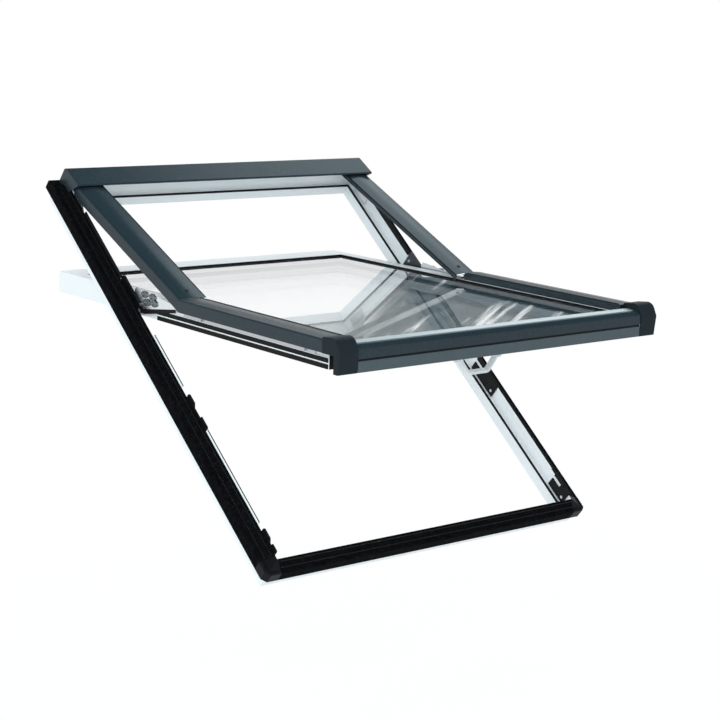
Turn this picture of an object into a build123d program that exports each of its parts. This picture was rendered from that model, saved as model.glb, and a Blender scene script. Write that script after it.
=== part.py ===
from build123d import *
import math
import os

# A roof window with a raised pivot: plastic frame and sash, folded metal covers,
# double glazing, and two cover arms that lift as the sash swings open.
#
# Every piece is drawn in window coordinates, in millimetres: x across the window,
# y up the roof slope from the frame's bottom edge, z outwards from the frame's face.
# The sash and its pieces are drawn shut and then swung to SASH_OPENING.

# Overall sizes and attitude
FRAME_WIDTH = 940.0
FRAME_HEIGHT = 1180.0
ROOF_PITCH = 41.7
SASH_OPENING = 38.6

# Clearances
OVERRUN = 6.0
SLIDE_GAP = 0.3
SHAFT_GAP = 0.05

# Frame profile
FACE_WIDTH = 35.0
BOTTOM_FACE_WIDTH = 28.5
LEDGE_WIDTH = 7.6
RABBET_DEPTH = 37.0
FRAME_DEPTH = 68.0
ROOF_FLANGE_DEPTH = 39.5
ROOF_FLANGE_REACH = 14.0
PLASTIC_WALL = 2.8

# Frame covers, folded from sheet, and their corner pieces
COVER_SKIN = 1.5
COVER_LEG = 38.0
COVER_EDGE = 3.0
COVER_RIDGE = 11.0
COVER_RISE = 12.0
CORNER_LENGTH = 38.0
CORNER_CUT = 11.0
CORNER_RIB = 1.0
CORNER_RIB_WIDTH = 2.0
CORNER_RIB_COUNT = 4

# Frame seal, let into the ledge
SEAL_SETBACK = 5.0
SEAL_THICKNESS = 2.0
SEAL_LIP = 2.0
SEAL_DROP = 3.5

# Hood over the frame's top rail
HOOD_SKIN = 2.0
HOOD_SETBACK = 8.0
HOOD_BACK_HEIGHT = 35.0
HOOD_DEPTH = 70.5
HOOD_LIP_HEIGHT = 43.5
HOOD_LIP_DROP = 4.0
HOOD_NOSE_RADIUS = 3.0
HOOD_BACK_RADIUS = 9.0
HOOD_CAP_WIDTH = 28.0
HOOD_CAP_PLATE = 7.0
HOOD_CAP_INSET = 24.0
HOOD_CAP_RAKE = 22.0

# Sash places, with the sash shut
PIVOT_HEIGHT = 775.0
PIVOT_DEPTH = 11.0
SASH_GAP = 4.4
SASH_TOP_GAP = 12.4
RABBET_GAP = 5.5
FLANGE_BELOW_PIVOT = 107.0
LEDGE_GAP = 0.5

# Sash profile
STILE_WIDTH = 40.0
TOP_RAIL_WIDTH = 84.0
BOTTOM_RAIL_WIDTH = 62.0
SASH_DEPTH = 38.0
SASH_FACE = 8.0
SASH_FLANGE_FACE = 4.0
SASH_ROOM_RADIUS = 5.0
GLASS_POCKET = 22.0
GLASS_EDGE_GAP = 2.0

# Glass unit
PANE = 4.0
GLASS_CAVITY = 16.0
SPACER_WIDTH = 7.0
SPACER_INSET = 5.0
OUTER_PANE_LOW = 12.0

# Glazing beads and gasket
BEAD_HEIGHT = 5.0
BEAD_LAP = 15.0
BEAD_CHAMFER = 1.2
GASKET_WIDTH = 3.0
GASKET_HEIGHT = 4.5

# Sash seals on the flange
SASH_SEAL_GROOVE = 1.0
SASH_SEAL_PROUD = 0.8
SASH_SEAL_HEIGHTS = (9.5, 10.0)
SASH_SEAL_DEPTHS = (14.0, 26.5)
SASH_SEAL_END = 4.0

# Side claddings of the sash
CLAD_SKIN = 2.0
CLAD_PROUD = 16.0
CLAD_LIFT = 0.5
CLAD_SHOULDER = 28.0
CLAD_CROWN = 31.5
CLAD_INNER_TOP = 29.5
CLAD_INNER_X = 2.0
CLAD_EDGE_RADIUS = 5.0
CLAD_CROWN_RADIUS = 120.0
CLAD_INNER_RADIUS = 3.0
CLAD_ARM_GAP = 21.0

# Bottom fascia: lower angle, upper nosing, seal between them, and end caps
FASCIA_SKIN = 2.0
FASCIA_REACH = 22.0
FASCIA_DROP = 36.0
FASCIA_WEB_HEIGHT = 3.5
FASCIA_WEB_LAP = 32.0
FASCIA_WEB_RADIUS = 3.0
FASCIA_SEAL = 1.5
FASCIA_SEAL_LOW = 19.0
NOSING_LOW = 8.0
NOSING_SHOULDER = 12.0
NOSING_TOP = 22.0
NOSING_ROUND = 11.0
NOSING_BACK = 20.0
NOSING_LIP = 5.0
NOSING_RADIUS = 9.0
CAP_WALL = 2.5
CAP_PROUD = 2.0
CAP_LENGTH = 28.0
CAP_TOP = 33.0
CAP_CROWN = 38.0
CAP_CROWN_SETBACK = 14.0
CAP_NOSE_PROUD = 3.0
CAP_NOSE_HEIGHT = 8.0
CAP_CROWN_RADIUS = 22.0
CAP_LEG = 14.0

# Pivot hinges
LEAF = 4.0
FRAME_LEAF_LENGTH = 96.0
FRAME_LEAF_RISE = 15.0
FRAME_LEAF_LOW = 34.0
FRAME_LEAF_HIGH = 16.0
LEAF_RADIUS = 7.0
HINGE_PIN_RADIUS = 6.0
SASH_LEAF_BELOW = 103.0
SASH_LEAF_ABOVE = 18.0
SASH_LEAF_LOW = 24.0
SASH_LEAF_HIGH = 6.0
BOSS_RADIUS = 9.5
BOSS_HEIGHT = 2.8
BOSS_SOCKET_RADIUS = 4.0
BOSS_SOCKET_DEPTH = 1.6
BOSS_SOCKET_SIDES = 6
BOSS_PLACES = (50.0, 85.0)
BOSS_DEPTH = 3.0

# Screws in the frame's fittings
SCREW_HEAD_RADIUS = 4.0
SCREW_HEAD = 2.0
SCREW_SIDES = 6
SCREW_PROUD = 0.3
SCREW_EDGE = 11.0
SCREW_GAP = 0.1

# Keepers on the rabbet walls, with an open slot for the locking cam
KEEPER = 3.8
KEEPER_LOW = 33.0
KEEPER_SHELF = 2.0
KEEPER_KNOB = 11.0
KEEPER_BLOCK = 9.0
KEEPER_BLOCK_LENGTH = 32.0
KEEPER_KNOB_LENGTH = 28.0
KEEPER_SLOPE = 7.0
KEEPER_RADIUS = 4.0
UPPER_KEEPER_LENGTH = 98.0
UPPER_KEEPER_FROM_PIVOT = 297.0
LOWER_KEEPER_LENGTH = 62.0
LOWER_KEEPER_START = 12.5
LOWER_BLOCK_LENGTH = 20.0
SLOT_LENGTH = 30.0
SLOT_GAP = 1.0

# Locking bars with cams, let into the sash flange
LOCK_BAR = 2.2
LOCK_BAR_WIDTH = 10.0
LOCK_BAR_DEPTH = 7.0
LOCK_BAR_START = 46.0
LOCK_BAR_FROM_PIVOT = 215.0
CAM_RADIUS = 4.5
CAM_HEIGHT = 4.3
CAM_STANDOFF = 12.0

# Cover arms
ARM_SKIN = 2.0
ARM_PROUD = 3.0
ARM_SIDE_LOW = 1.5
ARM_SHOULDER = 30.0
ARM_CROWN = 34.5
ARM_INNER_TOP = 31.0
ARM_INNER_LOW = 20.0
ARM_INNER_X = 20.5
ARM_EDGE_RADIUS = 6.0
ARM_CROWN_RADIUS = 120.0
ARM_INNER_RADIUS = 3.0
ARM_BELOW_PIN = 14.0
ARM_PIN_HEIGHT = 575.0
ARM_PIN_DEPTH = 21.0
ARM_PAST_GUIDE = 9.0
ARM_TAPER_LENGTH = 78.0
ARM_TAPER_DEPTH = 23.0

# Arm linkage: bracket on the sash, slotted strip in the arm, guide on the frame
ARM_PIN_RADIUS = 3.5
ARM_EAR_RADIUS = 6.5
ARM_EAR = 4.0
ARM_BRACKET_FOOT = 2.0
ARM_BRACKET_WIDTH = 14.0
ARM_BRACKET_LENGTH = 24.0
ARM_BRACKET_TOP = 4.5
ARM_BRACKET_TOP_HALF = 4.0
ARM_BRACKET_RADIUS = 3.0
ARM_EAR_STANDOFF = 1.5
STRIP = 2.0
STRIP_WIDTH = 16.0
GUIDE_FROM_TOP = 72.0
GUIDE_DEPTH = 21.0
GUIDE_PIN_RADIUS = 3.0
GUIDE_SLOT_GAP = 1.2
GUIDE_SLOT_WALL = 2.0
STRIP_PAST_GUIDE = 6.5
GUIDE_PLATE = 3.0
GUIDE_PLATE_BELOW = 50.0
GUIDE_PLATE_ABOVE = 8.0
GUIDE_PLATE_LOW = 32.0
GUIDE_PLATE_HIGH = 25.0
GUIDE_PIN_REACH = 5.0
RIVET_RADIUS = 4.0
RIVET_HEAD = 1.5
RIVET_SETBACK = 22.0

# Handle on the sash's bottom rail, room side
HANDLE_BASE = 6.0
HANDLE_BASE_LENGTH = 132.0
HANDLE_BASE_WIDTH = 26.0
HANDLE_BASE_RADIUS = 6.0
HANDLE_EAR = 8.0
HANDLE_EAR_RADIUS = 7.0
HANDLE_PIVOT_RADIUS = 3.0
HANDLE_PIVOT_DROP = 13.0
HANDLE_REACH = 38.0
HANDLE_GRIP_LENGTH = 62.0
HANDLE_BAR = 9.0
HANDLE_WIDTH = 15.0
HANDLE_BEND = 16.0
HANDLE_EDGE = 2.5
HANDLE_ROOT_GAP = 1.0

# Sizes that follow from those above
HALF_WIDTH = FRAME_WIDTH / 2
STRETCH_SHARE = BOTTOM_FACE_WIDTH / FACE_WIDTH
WALL_X = HALF_WIDTH - FACE_WIDTH
LEDGE_X = WALL_X - LEDGE_WIDTH
FLANGE_X = WALL_X - RABBET_GAP
SASH_X = LEDGE_X - SASH_GAP
STILE_X = SASH_X - STILE_WIDTH
POCKET_X = STILE_X + GLASS_POCKET
GLASS_X = POCKET_X - GLASS_EDGE_GAP
BEAD_X = GLASS_X - BEAD_LAP + GLASS_EDGE_GAP
SASH_LOW = BOTTOM_FACE_WIDTH + RABBET_GAP
SASH_HIGH = FRAME_HEIGHT - FACE_WIDTH - LEDGE_WIDTH - SASH_TOP_GAP
SASH_NOTCH = (FACE_WIDTH + LEDGE_WIDTH) * STRETCH_SHARE + SASH_GAP
FLANGE_LOW = RABBET_DEPTH - LEDGE_GAP
FLANGE_HIGH_Y = PIVOT_HEIGHT - FLANGE_BELOW_PIVOT
TOP_RAIL_LOW = SASH_HIGH - TOP_RAIL_WIDTH
TOP_POCKET = TOP_RAIL_LOW + GLASS_POCKET
GLASS_HIGH = TOP_POCKET - GLASS_EDGE_GAP
BEAD_TOP_LOW = GLASS_HIGH - BEAD_LAP + GLASS_EDGE_GAP
BOTTOM_RAIL_HIGH = SASH_LOW + BOTTOM_RAIL_WIDTH
BOTTOM_POCKET = BOTTOM_RAIL_HIGH - GLASS_POCKET
INNER_PANE_LOW = BOTTOM_POCKET + GLASS_EDGE_GAP
POCKET_FLOOR = SASH_FACE - PANE - GLASS_CAVITY - PANE
BEAD_TOP = SASH_FACE + BEAD_HEIGHT
WEB_UNDER = FASCIA_WEB_HEIGHT - FASCIA_SKIN
CLAD_X = WALL_X + CLAD_PROUD
CLAD_INSIDE = BEAD_X + CLAD_INNER_X
CLAD_HIGH = ARM_PIN_HEIGHT - CLAD_ARM_GAP
CAP_X = CLAD_X + CAP_PROUD
ARM_X = WALL_X + ARM_PROUD
ARM_INSIDE = BEAD_X - ARM_INNER_X
HOOD_BACK = FRAME_HEIGHT - HOOD_SETBACK
HOOD_LIP = HOOD_BACK - HOOD_DEPTH
HOOD_END = HALF_WIDTH - HOOD_CAP_INSET
ARM_EAR_X = SASH_X + ARM_EAR_STANDOFF
GUIDE_HEIGHT = FRAME_HEIGHT - GUIDE_FROM_TOP
LOCK_BAR_LOW = SASH_LOW + LOCK_BAR_START
LOCK_BAR_HIGH = PIVOT_HEIGHT - LOCK_BAR_FROM_PIVOT
UPPER_KEEPER_TOP = PIVOT_HEIGHT - UPPER_KEEPER_FROM_PIVOT
LOWER_KEEPER_TOP = BOTTOM_FACE_WIDTH + LOWER_KEEPER_START + LOWER_KEEPER_LENGTH
CAM_PLACES = (LOWER_KEEPER_TOP + CAM_STANDOFF, UPPER_KEEPER_TOP + CAM_STANDOFF)

# Cutting and drawing planes: a section across a stile, and one across a rail
STILE_SECTION = Plane(origin=(0, 0, 0), x_dir=(1, 0, 0), z_dir=(0, -1, 0))
RAIL_SECTION = Plane.YZ
UP_SLOPE = (0, 1, 0)


# Drawing helpers


def outline(points, radii=None):
    """Closed face through points, with each corner rounded by its radius."""
    if radii is None:
        return make_face(Polyline(*points, close=True))
    return make_face(FilletPolyline(*points, radius=radii, close=True))


def beside(first, second, offset):
    """Unit left normal of a segment, times an offset."""
    across, up = second[0] - first[0], second[1] - first[1]
    length = math.hypot(across, up)
    return (-up / length * offset, across / length * offset)


def folded(points, radii, skin):
    """Section of a folded sheet: the outer line, and the same line set to its left by the skin."""
    shifts = [beside(a, b, skin) for a, b in zip(points, points[1:])]
    inner = [(points[0][0] + shifts[0][0], points[0][1] + shifts[0][1])]
    inner_radii = []
    for corner, before, after, radius in zip(points[1:], shifts, shifts[1:], radii):
        dot = before[0] * after[0] + before[1] * after[1]
        share = skin * skin / (skin * skin + dot)
        inner.append((corner[0] + (before[0] + after[0]) * share, corner[1] + (before[1] + after[1]) * share))
        left_turn = before[0] * after[1] - before[1] * after[0] > 0
        inner_radii.append(0 if radius == 0 else max(radius - skin if left_turn else radius + skin, 0))
    inner.append((points[-1][0] + shifts[-1][0], points[-1][1] + shifts[-1][1]))
    corner_radii = [0, *radii, 0, 0, *reversed(inner_radii), 0]
    return outline([*points, *reversed(inner)], corner_radii)


def up_slope(section, low, high):
    """Bar with an (x, z) section, from one height on the slope to another."""
    return Pos(0, low, 0) * extrude(STILE_SECTION * section, amount=high - low, dir=UP_SLOPE)


def across(section, left, right):
    """Bar with a (y, z) section, from one place across the window to another."""
    return Pos(left, 0, 0) * extrude(RAIL_SECTION * section, amount=right - left)


def slab(section, low, high):
    """Plate with an (x, y) outline, between two levels."""
    return Pos(0, 0, low) * extrude(section, amount=high - low)


def block(left, right, low, high, under, over):
    """Plain box between two places on each axis."""
    corners = [(left, low), (right, low), (right, high), (left, high)]
    return slab(outline(corners), under, over)


def rod(radius, left, right, height, level):
    """Round bar that lies across the window."""
    return Pos(left, height, level) * Rot(0, 90, 0) * Cylinder(
        radius, right - left, align=(Align.CENTER, Align.CENTER, Align.MIN)
    )


def mirrored(shape):
    """The same piece on the other side of the window."""
    return mirror(shape, about=Plane.YZ)


# Frame ring: the same section on all four sides, wider on the bottom rail


def corner_point(cut):
    """Place on the bottom mitre where a cut across the corner meets it."""
    inset = cut / (1 + STRETCH_SHARE)
    return (HALF_WIDTH - inset, inset * STRETCH_SHARE)


def stile_limits(width, cut):
    """Outline that a right stile keeps: mitred at both ends, its low corner cut off."""
    inner = HALF_WIDTH - width
    return outline(
        [
            (HALF_WIDTH, cut),
            (HALF_WIDTH, FRAME_HEIGHT),
            (inner, FRAME_HEIGHT - width),
            (inner, width * STRETCH_SHARE),
            corner_point(cut),
        ]
    )


def bottom_limits(width, cut):
    """Outline that the bottom rail keeps: mitred, both corners cut off."""
    half = [corner_point(cut), (HALF_WIDTH - width, width * STRETCH_SHARE)]
    other = [(-x, y) for x, y in reversed(half)]
    return outline([(HALF_WIDTH - cut, 0), *half, *other, (cut - HALF_WIDTH, 0)])


def top_limits(width):
    """Outline that the top rail keeps: mitred at both ends."""
    inner = HALF_WIDTH - width
    return outline(
        [
            (-HALF_WIDTH, FRAME_HEIGHT),
            (HALF_WIDTH, FRAME_HEIGHT),
            (inner, FRAME_HEIGHT - width),
            (-inner, FRAME_HEIGHT - width),
        ]
    )


def ring_sides(outlines, width, cut):
    """Right stile, top rail and bottom rail of a mitred ring, from outlines of (inset, z)."""

    def section(place):
        first, *chambers = [outline([(place(inset), z) for inset, z in points]) for points in outlines]
        for chamber in chambers:
            first -= chamber
        return first

    right = up_slope(section(lambda inset: HALF_WIDTH - inset), 0, FRAME_HEIGHT)
    top = across(section(lambda inset: FRAME_HEIGHT - inset), -HALF_WIDTH, HALF_WIDTH)
    bottom = across(section(lambda inset: inset * STRETCH_SHARE), -HALF_WIDTH, HALF_WIDTH)
    under, over = -FRAME_DEPTH - OVERRUN, OVERRUN
    right &= slab(stile_limits(width, cut), under, over)
    top &= slab(top_limits(width), under, over)
    bottom &= slab(bottom_limits(width, cut), under, over)
    return right, top, bottom


def cover_line(drop):
    """Points of the cover's outer face, or of the face that lies a drop below it."""
    lean = drop * math.tan(math.pi / 8)
    return [
        (drop, -COVER_RISE - COVER_EDGE - lean),
        (COVER_EDGE + lean, -COVER_RISE - drop),
        (COVER_RIDGE, -COVER_RISE - drop),
        (FACE_WIDTH, -drop),
    ]


def frame_outlines():
    """Plastic frame section: roof flange and rabbet wall above, body with ledge below, two chambers."""
    ledge_end = FACE_WIDTH + LEDGE_WIDTH
    seal_start = FACE_WIDTH + SEAL_SETBACK
    seal_bed = -RABBET_DEPTH - SEAL_THICKNESS
    body = [
        (COVER_SKIN, -ROOF_FLANGE_DEPTH),
        *cover_line(COVER_SKIN),
        (FACE_WIDTH, -RABBET_DEPTH),
        (seal_start, -RABBET_DEPTH),
        (seal_start, seal_bed),
        (ledge_end, seal_bed),
        (ledge_end, -FRAME_DEPTH),
        (ROOF_FLANGE_REACH, -FRAME_DEPTH),
        (ROOF_FLANGE_REACH, -ROOF_FLANGE_DEPTH),
    ]
    wall = COVER_SKIN + PLASTIC_WALL
    upper_low = -ROOF_FLANGE_DEPTH + PLASTIC_WALL
    upper = [
        (wall, upper_low),
        (wall, -COVER_RISE - COVER_EDGE - wall),
        (COVER_RIDGE, -COVER_RISE - wall),
        (FACE_WIDTH - PLASTIC_WALL, -wall - PLASTIC_WALL),
        (FACE_WIDTH - PLASTIC_WALL, upper_low),
    ]
    lower_top = seal_bed - PLASTIC_WALL
    lower_low = -FRAME_DEPTH + PLASTIC_WALL
    lower = [
        (ROOF_FLANGE_REACH + PLASTIC_WALL, lower_low),
        (ROOF_FLANGE_REACH + PLASTIC_WALL, lower_top),
        (ledge_end - PLASTIC_WALL, lower_top),
        (ledge_end - PLASTIC_WALL, lower_low),
    ]
    return [body, upper, lower]


def frame_pieces():
    width = FACE_WIDTH + LEDGE_WIDTH
    cut = CORNER_CUT + COVER_SKIN * math.sqrt(2)
    right, top, bottom = ring_sides(frame_outlines(), width, cut)
    return {
        "frame_right_stile": right,
        "frame_left_stile": mirrored(right),
        "frame_top_rail": top,
        "frame_bottom_rail": bottom,
    }


def frame_seal():
    """Rubber ring in the ledge's recess, with a lip over the ledge's inner edge."""
    start, end = FACE_WIDTH + SEAL_SETBACK, FACE_WIDTH + LEDGE_WIDTH
    section = [
        (start, -RABBET_DEPTH),
        (end + SEAL_LIP, -RABBET_DEPTH),
        (end + SEAL_LIP, -RABBET_DEPTH - SEAL_DROP),
        (end, -RABBET_DEPTH - SEAL_DROP),
        (end, -RABBET_DEPTH - SEAL_THICKNESS),
        (start, -RABBET_DEPTH - SEAL_THICKNESS),
    ]
    right, top, bottom = ring_sides([section], end + SEAL_LIP, CORNER_CUT)
    return {"frame_seal": right + top + mirrored(right) + bottom}


def cover_outlines():
    """Folded cover section: side leg, chamfered edge, flat ridge and a slope up to the rabbet."""
    return [[(0, -COVER_LEG), *cover_line(0), *reversed(cover_line(COVER_SKIN)), (COVER_SKIN, -COVER_LEG)]]


def corner_ribs():
    """Short raised ribs across the face of the right corner piece."""
    pitch = (CORNER_LENGTH - CORNER_CUT) / (CORNER_RIB_COUNT + 1)
    ribs = []
    for place in range(1, CORNER_RIB_COUNT + 1):
        low = CORNER_CUT + pitch * place
        left, right = HALF_WIDTH - COVER_RIDGE, HALF_WIDTH - COVER_EDGE
        ribs.append(block(left, right, low, low + CORNER_RIB_WIDTH, -COVER_RISE, CORNER_RIB - COVER_RISE))
    return ribs


def cover_pieces():
    right, top, bottom = ring_sides(cover_outlines(), FACE_WIDTH, CORNER_CUT)
    reach = HALF_WIDTH + OVERRUN
    level = COVER_LEG + OVERRUN
    low_end = block(-reach, reach, -OVERRUN, CORNER_LENGTH, -level, OVERRUN)
    right_end = block(HALF_WIDTH - CORNER_LENGTH, reach, -OVERRUN, CORNER_LENGTH, -level, OVERRUN)
    inner_cut = CORNER_CUT + COVER_SKIN * math.sqrt(2)
    wall = outline(
        [
            (HALF_WIDTH, CORNER_CUT),
            (HALF_WIDTH, inner_cut),
            (HALF_WIDTH - inner_cut, 0),
            (HALF_WIDTH - CORNER_CUT, 0),
        ]
    )
    corner = (right & right_end) + (bottom & right_end) + slab(wall, -COVER_LEG, -COVER_RISE - COVER_EDGE)
    for rib in corner_ribs():
        corner += rib
    side = right - low_end
    middle = bottom - right_end - mirrored(right_end)
    return {
        "cover_right": side,
        "cover_left": mirrored(side),
        "cover_top": top,
        "cover_bottom": middle,
        "corner_piece_right": corner,
        "corner_piece_left": mirrored(corner),
    }


# Hood


def hood_line():
    """Outer line of the hood: up from its foot on the top cover, forwards to the front edge, down the lip."""
    return [
        (HOOD_BACK, -COVER_RISE),
        (HOOD_BACK, HOOD_BACK_HEIGHT),
        (HOOD_LIP, HOOD_LIP_HEIGHT),
        (HOOD_LIP, HOOD_LIP_HEIGHT - HOOD_LIP_DROP),
    ]


def cap_plate():
    """End wall of the right hood cap, beside the arm, with a raked front edge."""
    points = [
        *hood_line(),
        (HOOD_LIP + HOOD_CAP_RAKE, 0),
        (FRAME_HEIGHT - FACE_WIDTH, 0),
        (FRAME_HEIGHT - COVER_RIDGE, -COVER_RISE),
    ]
    radii = [0, HOOD_BACK_RADIUS, HOOD_NOSE_RADIUS, 0, 0, 0, 0]
    return across(outline(points, radii), HOOD_END - HOOD_CAP_PLATE, HOOD_END)


def hood_pieces():
    section = folded(hood_line(), [HOOD_BACK_RADIUS, HOOD_NOSE_RADIUS], HOOD_SKIN)
    seam = HOOD_END - HOOD_CAP_WIDTH
    cap = across(section, seam, HOOD_END) + cap_plate()
    return {"hood": across(section, -seam, seam), "hood_cap_right": cap, "hood_cap_left": mirrored(cap)}


# Sash


def stile_section():
    """Sash stile: glass pocket towards the glass, two chambers."""
    body = outline(
        [
            (STILE_X, -SASH_DEPTH),
            (SASH_X, -SASH_DEPTH),
            (SASH_X, SASH_FACE),
            (POCKET_X, SASH_FACE),
            (POCKET_X, POCKET_FLOOR),
            (STILE_X, POCKET_FLOOR),
        ],
        [SASH_ROOM_RADIUS, 0, 0, 0, 0, 0],
    )
    wall = PLASTIC_WALL
    body -= outline(
        [
            (STILE_X + wall, -SASH_DEPTH + wall + SASH_ROOM_RADIUS),
            (SASH_X - wall, -SASH_DEPTH + wall + SASH_ROOM_RADIUS),
            (SASH_X - wall, POCKET_FLOOR - wall),
            (STILE_X + wall, POCKET_FLOOR - wall),
        ]
    )
    body -= outline(
        [
            (POCKET_X + wall, POCKET_FLOOR),
            (SASH_X - wall, POCKET_FLOOR),
            (SASH_X - wall, SASH_FACE - wall),
            (POCKET_X + wall, SASH_FACE - wall),
        ]
    )
    return body


def seal_levels():
    """Upper and lower level of each sash seal."""
    return [(-depth, -depth - height) for depth, height in zip(SASH_SEAL_DEPTHS, SASH_SEAL_HEIGHTS)]


def flange_section():
    """Overlap flange on the stile's outer side, with grooves for the locking bar and the seals."""
    flange = outline(
        [
            (SASH_X, -FLANGE_LOW),
            (FLANGE_X, -FLANGE_LOW),
            (FLANGE_X, SASH_FLANGE_FACE),
            (SASH_X, SASH_FLANGE_FACE),
        ]
    )
    half = LOCK_BAR_WIDTH / 2 + SLIDE_GAP
    bed = FLANGE_X - LOCK_BAR - SLIDE_GAP
    grooves = [(bed, -LOCK_BAR_DEPTH + half, -LOCK_BAR_DEPTH - half)]
    grooves += [(FLANGE_X - SASH_SEAL_GROOVE, high, low) for high, low in seal_levels()]
    edge = FLANGE_X + OVERRUN
    for floor, high, low in grooves:
        flange -= outline([(floor, low), (edge, low), (edge, high), (floor, high)])
    return flange


def mitred(shape, points):
    """The part of a sash piece that lies inside an (x, y) outline."""
    return shape & slab(outline(points), -SASH_DEPTH - OVERRUN, SASH_FACE + OVERRUN)


def sash_stile():
    limits = [(STILE_X, BOTTOM_RAIL_HIGH), (SASH_X, SASH_LOW), (SASH_X, SASH_HIGH), (STILE_X, TOP_RAIL_LOW)]
    stile = mitred(up_slope(stile_section(), SASH_LOW, SASH_HIGH), limits)
    stile += up_slope(flange_section(), SASH_LOW, FLANGE_HIGH_Y)
    reach = FLANGE_X + OVERRUN
    return stile - block(
        STILE_X - OVERRUN, reach, SASH_LOW - OVERRUN, SASH_NOTCH, -SASH_DEPTH - OVERRUN, -FLANGE_LOW
    )


def sash_top_rail():
    wall = PLASTIC_WALL
    lower = outline(
        [
            (TOP_RAIL_LOW, -SASH_DEPTH),
            (SASH_HIGH, -SASH_DEPTH),
            (SASH_HIGH, POCKET_FLOOR),
            (TOP_RAIL_LOW, POCKET_FLOOR),
        ],
        [SASH_ROOM_RADIUS, 0, 0, 0],
    )
    lower -= outline(
        [
            (TOP_RAIL_LOW + wall, -SASH_DEPTH + wall + SASH_ROOM_RADIUS),
            (SASH_HIGH - wall, -SASH_DEPTH + wall + SASH_ROOM_RADIUS),
            (SASH_HIGH - wall, POCKET_FLOOR - wall),
            (TOP_RAIL_LOW + wall, POCKET_FLOOR - wall),
        ]
    )
    rail = across(lower, -SASH_X, SASH_X)
    rail += block(-SASH_X, SASH_X, TOP_POCKET, SASH_HIGH, POCKET_FLOOR, SASH_FACE)
    limits = [(-STILE_X, TOP_RAIL_LOW), (STILE_X, TOP_RAIL_LOW), (SASH_X, SASH_HIGH), (-SASH_X, SASH_HIGH)]
    return mitred(rail, limits)


def sash_bottom_rail():
    lower = outline(
        [
            (SASH_LOW, -FLANGE_LOW),
            (SASH_NOTCH, -FLANGE_LOW),
            (SASH_NOTCH, -SASH_DEPTH),
            (BOTTOM_RAIL_HIGH, -SASH_DEPTH),
            (BOTTOM_RAIL_HIGH, POCKET_FLOOR),
            (SASH_LOW, POCKET_FLOOR),
        ],
        [0, 0, 0, SASH_ROOM_RADIUS, 0, 0],
    )
    rail = across(lower, -SASH_X, SASH_X)
    rail += block(-SASH_X, SASH_X, SASH_LOW, BOTTOM_POCKET, POCKET_FLOOR, WEB_UNDER)
    corner = block(POCKET_X, SASH_X, SASH_LOW, BOTTOM_POCKET, WEB_UNDER, SASH_FACE)
    rail += corner + mirrored(corner)
    high, low = BOTTOM_RAIL_HIGH, SASH_LOW
    return mitred(rail, [(-STILE_X, high), (STILE_X, high), (SASH_X, low), (-SASH_X, low)])


def glass_pieces():
    """Stepped double glazing: the outer pane runs down over the bottom rail."""
    under = POCKET_FLOOR + PANE
    over = under + GLASS_CAVITY
    outer = block(-GLASS_X, GLASS_X, OUTER_PANE_LOW, GLASS_HIGH, over, over + PANE)
    inner = block(-GLASS_X, GLASS_X, INNER_PANE_LOW, GLASS_HIGH, POCKET_FLOOR, under)
    edge = GLASS_X - SPACER_INSET
    low, high = INNER_PANE_LOW + SPACER_INSET, GLASS_HIGH - SPACER_INSET
    ring = block(-edge, edge, low, high, under, over)
    bore = edge - SPACER_WIDTH
    ring -= block(-bore, bore, low + SPACER_WIDTH, high - SPACER_WIDTH, under, over)
    return {"outer_pane": outer, "inner_pane": inner, "glass_spacer": ring}


def bead_pieces():
    """White beads that hold the glass, mitred at the top corners, and the black gasket inside them."""
    side = outline([(SASH_X, SASH_LOW), (SASH_X, SASH_HIGH), (BEAD_X, BEAD_TOP_LOW), (BEAD_X, SASH_LOW)])
    head = outline(
        [(-SASH_X, SASH_HIGH), (SASH_X, SASH_HIGH), (BEAD_X, BEAD_TOP_LOW), (-BEAD_X, BEAD_TOP_LOW)]
    )
    right = slab(side, SASH_FACE, BEAD_TOP)
    right = chamfer(right.edges().filter_by(Axis.Y).group_by(Axis.Z)[-1], BEAD_CHAMFER)
    top = slab(head, SASH_FACE, BEAD_TOP)
    top = chamfer(top.edges().filter_by(Axis.X).group_by(Axis.Z)[-1], BEAD_CHAMFER)
    inner = BEAD_X - GASKET_WIDTH
    gasket = block(-BEAD_X, BEAD_X, SASH_LOW, BEAD_TOP_LOW, SASH_FACE, SASH_FACE + GASKET_HEIGHT)
    gasket -= block(
        -inner, inner, SASH_LOW - OVERRUN, BEAD_TOP_LOW - GASKET_WIDTH, SASH_FACE, SASH_FACE + GASKET_HEIGHT
    )
    return {
        "glazing_bead_right": right,
        "glazing_bead_left": mirrored(right),
        "glazing_bead_top": top,
        "glazing_gasket": gasket,
    }


def sash_seals():
    """Two rubber strips on each side of the sash, in the flange's grooves."""
    low, high = SASH_LOW + SASH_SEAL_END, FLANGE_HIGH_Y
    bed, proud = FLANGE_X - SASH_SEAL_GROOVE, FLANGE_X + SASH_SEAL_PROUD
    strips = [block(bed, proud, low, high, under, over) for over, under in seal_levels()]
    return {"sash_seals": Compound(children=[*strips, *[mirrored(strip) for strip in strips]])}


def sash_cladding():
    """Crowned cladding over the sash stile: outer side, top, and an inner wall down to the bead."""
    line = [
        (CLAD_X, CLAD_LIFT),
        (CLAD_X, CLAD_SHOULDER),
        ((CLAD_X + CLAD_INSIDE) / 2, CLAD_CROWN),
        (CLAD_INSIDE, CLAD_INNER_TOP),
        (CLAD_INSIDE, BEAD_TOP),
    ]
    section = folded(line, [CLAD_EDGE_RADIUS, CLAD_CROWN_RADIUS, CLAD_INNER_RADIUS], CLAD_SKIN)
    return up_slope(section, CAP_LENGTH, CLAD_HIGH)


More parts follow.
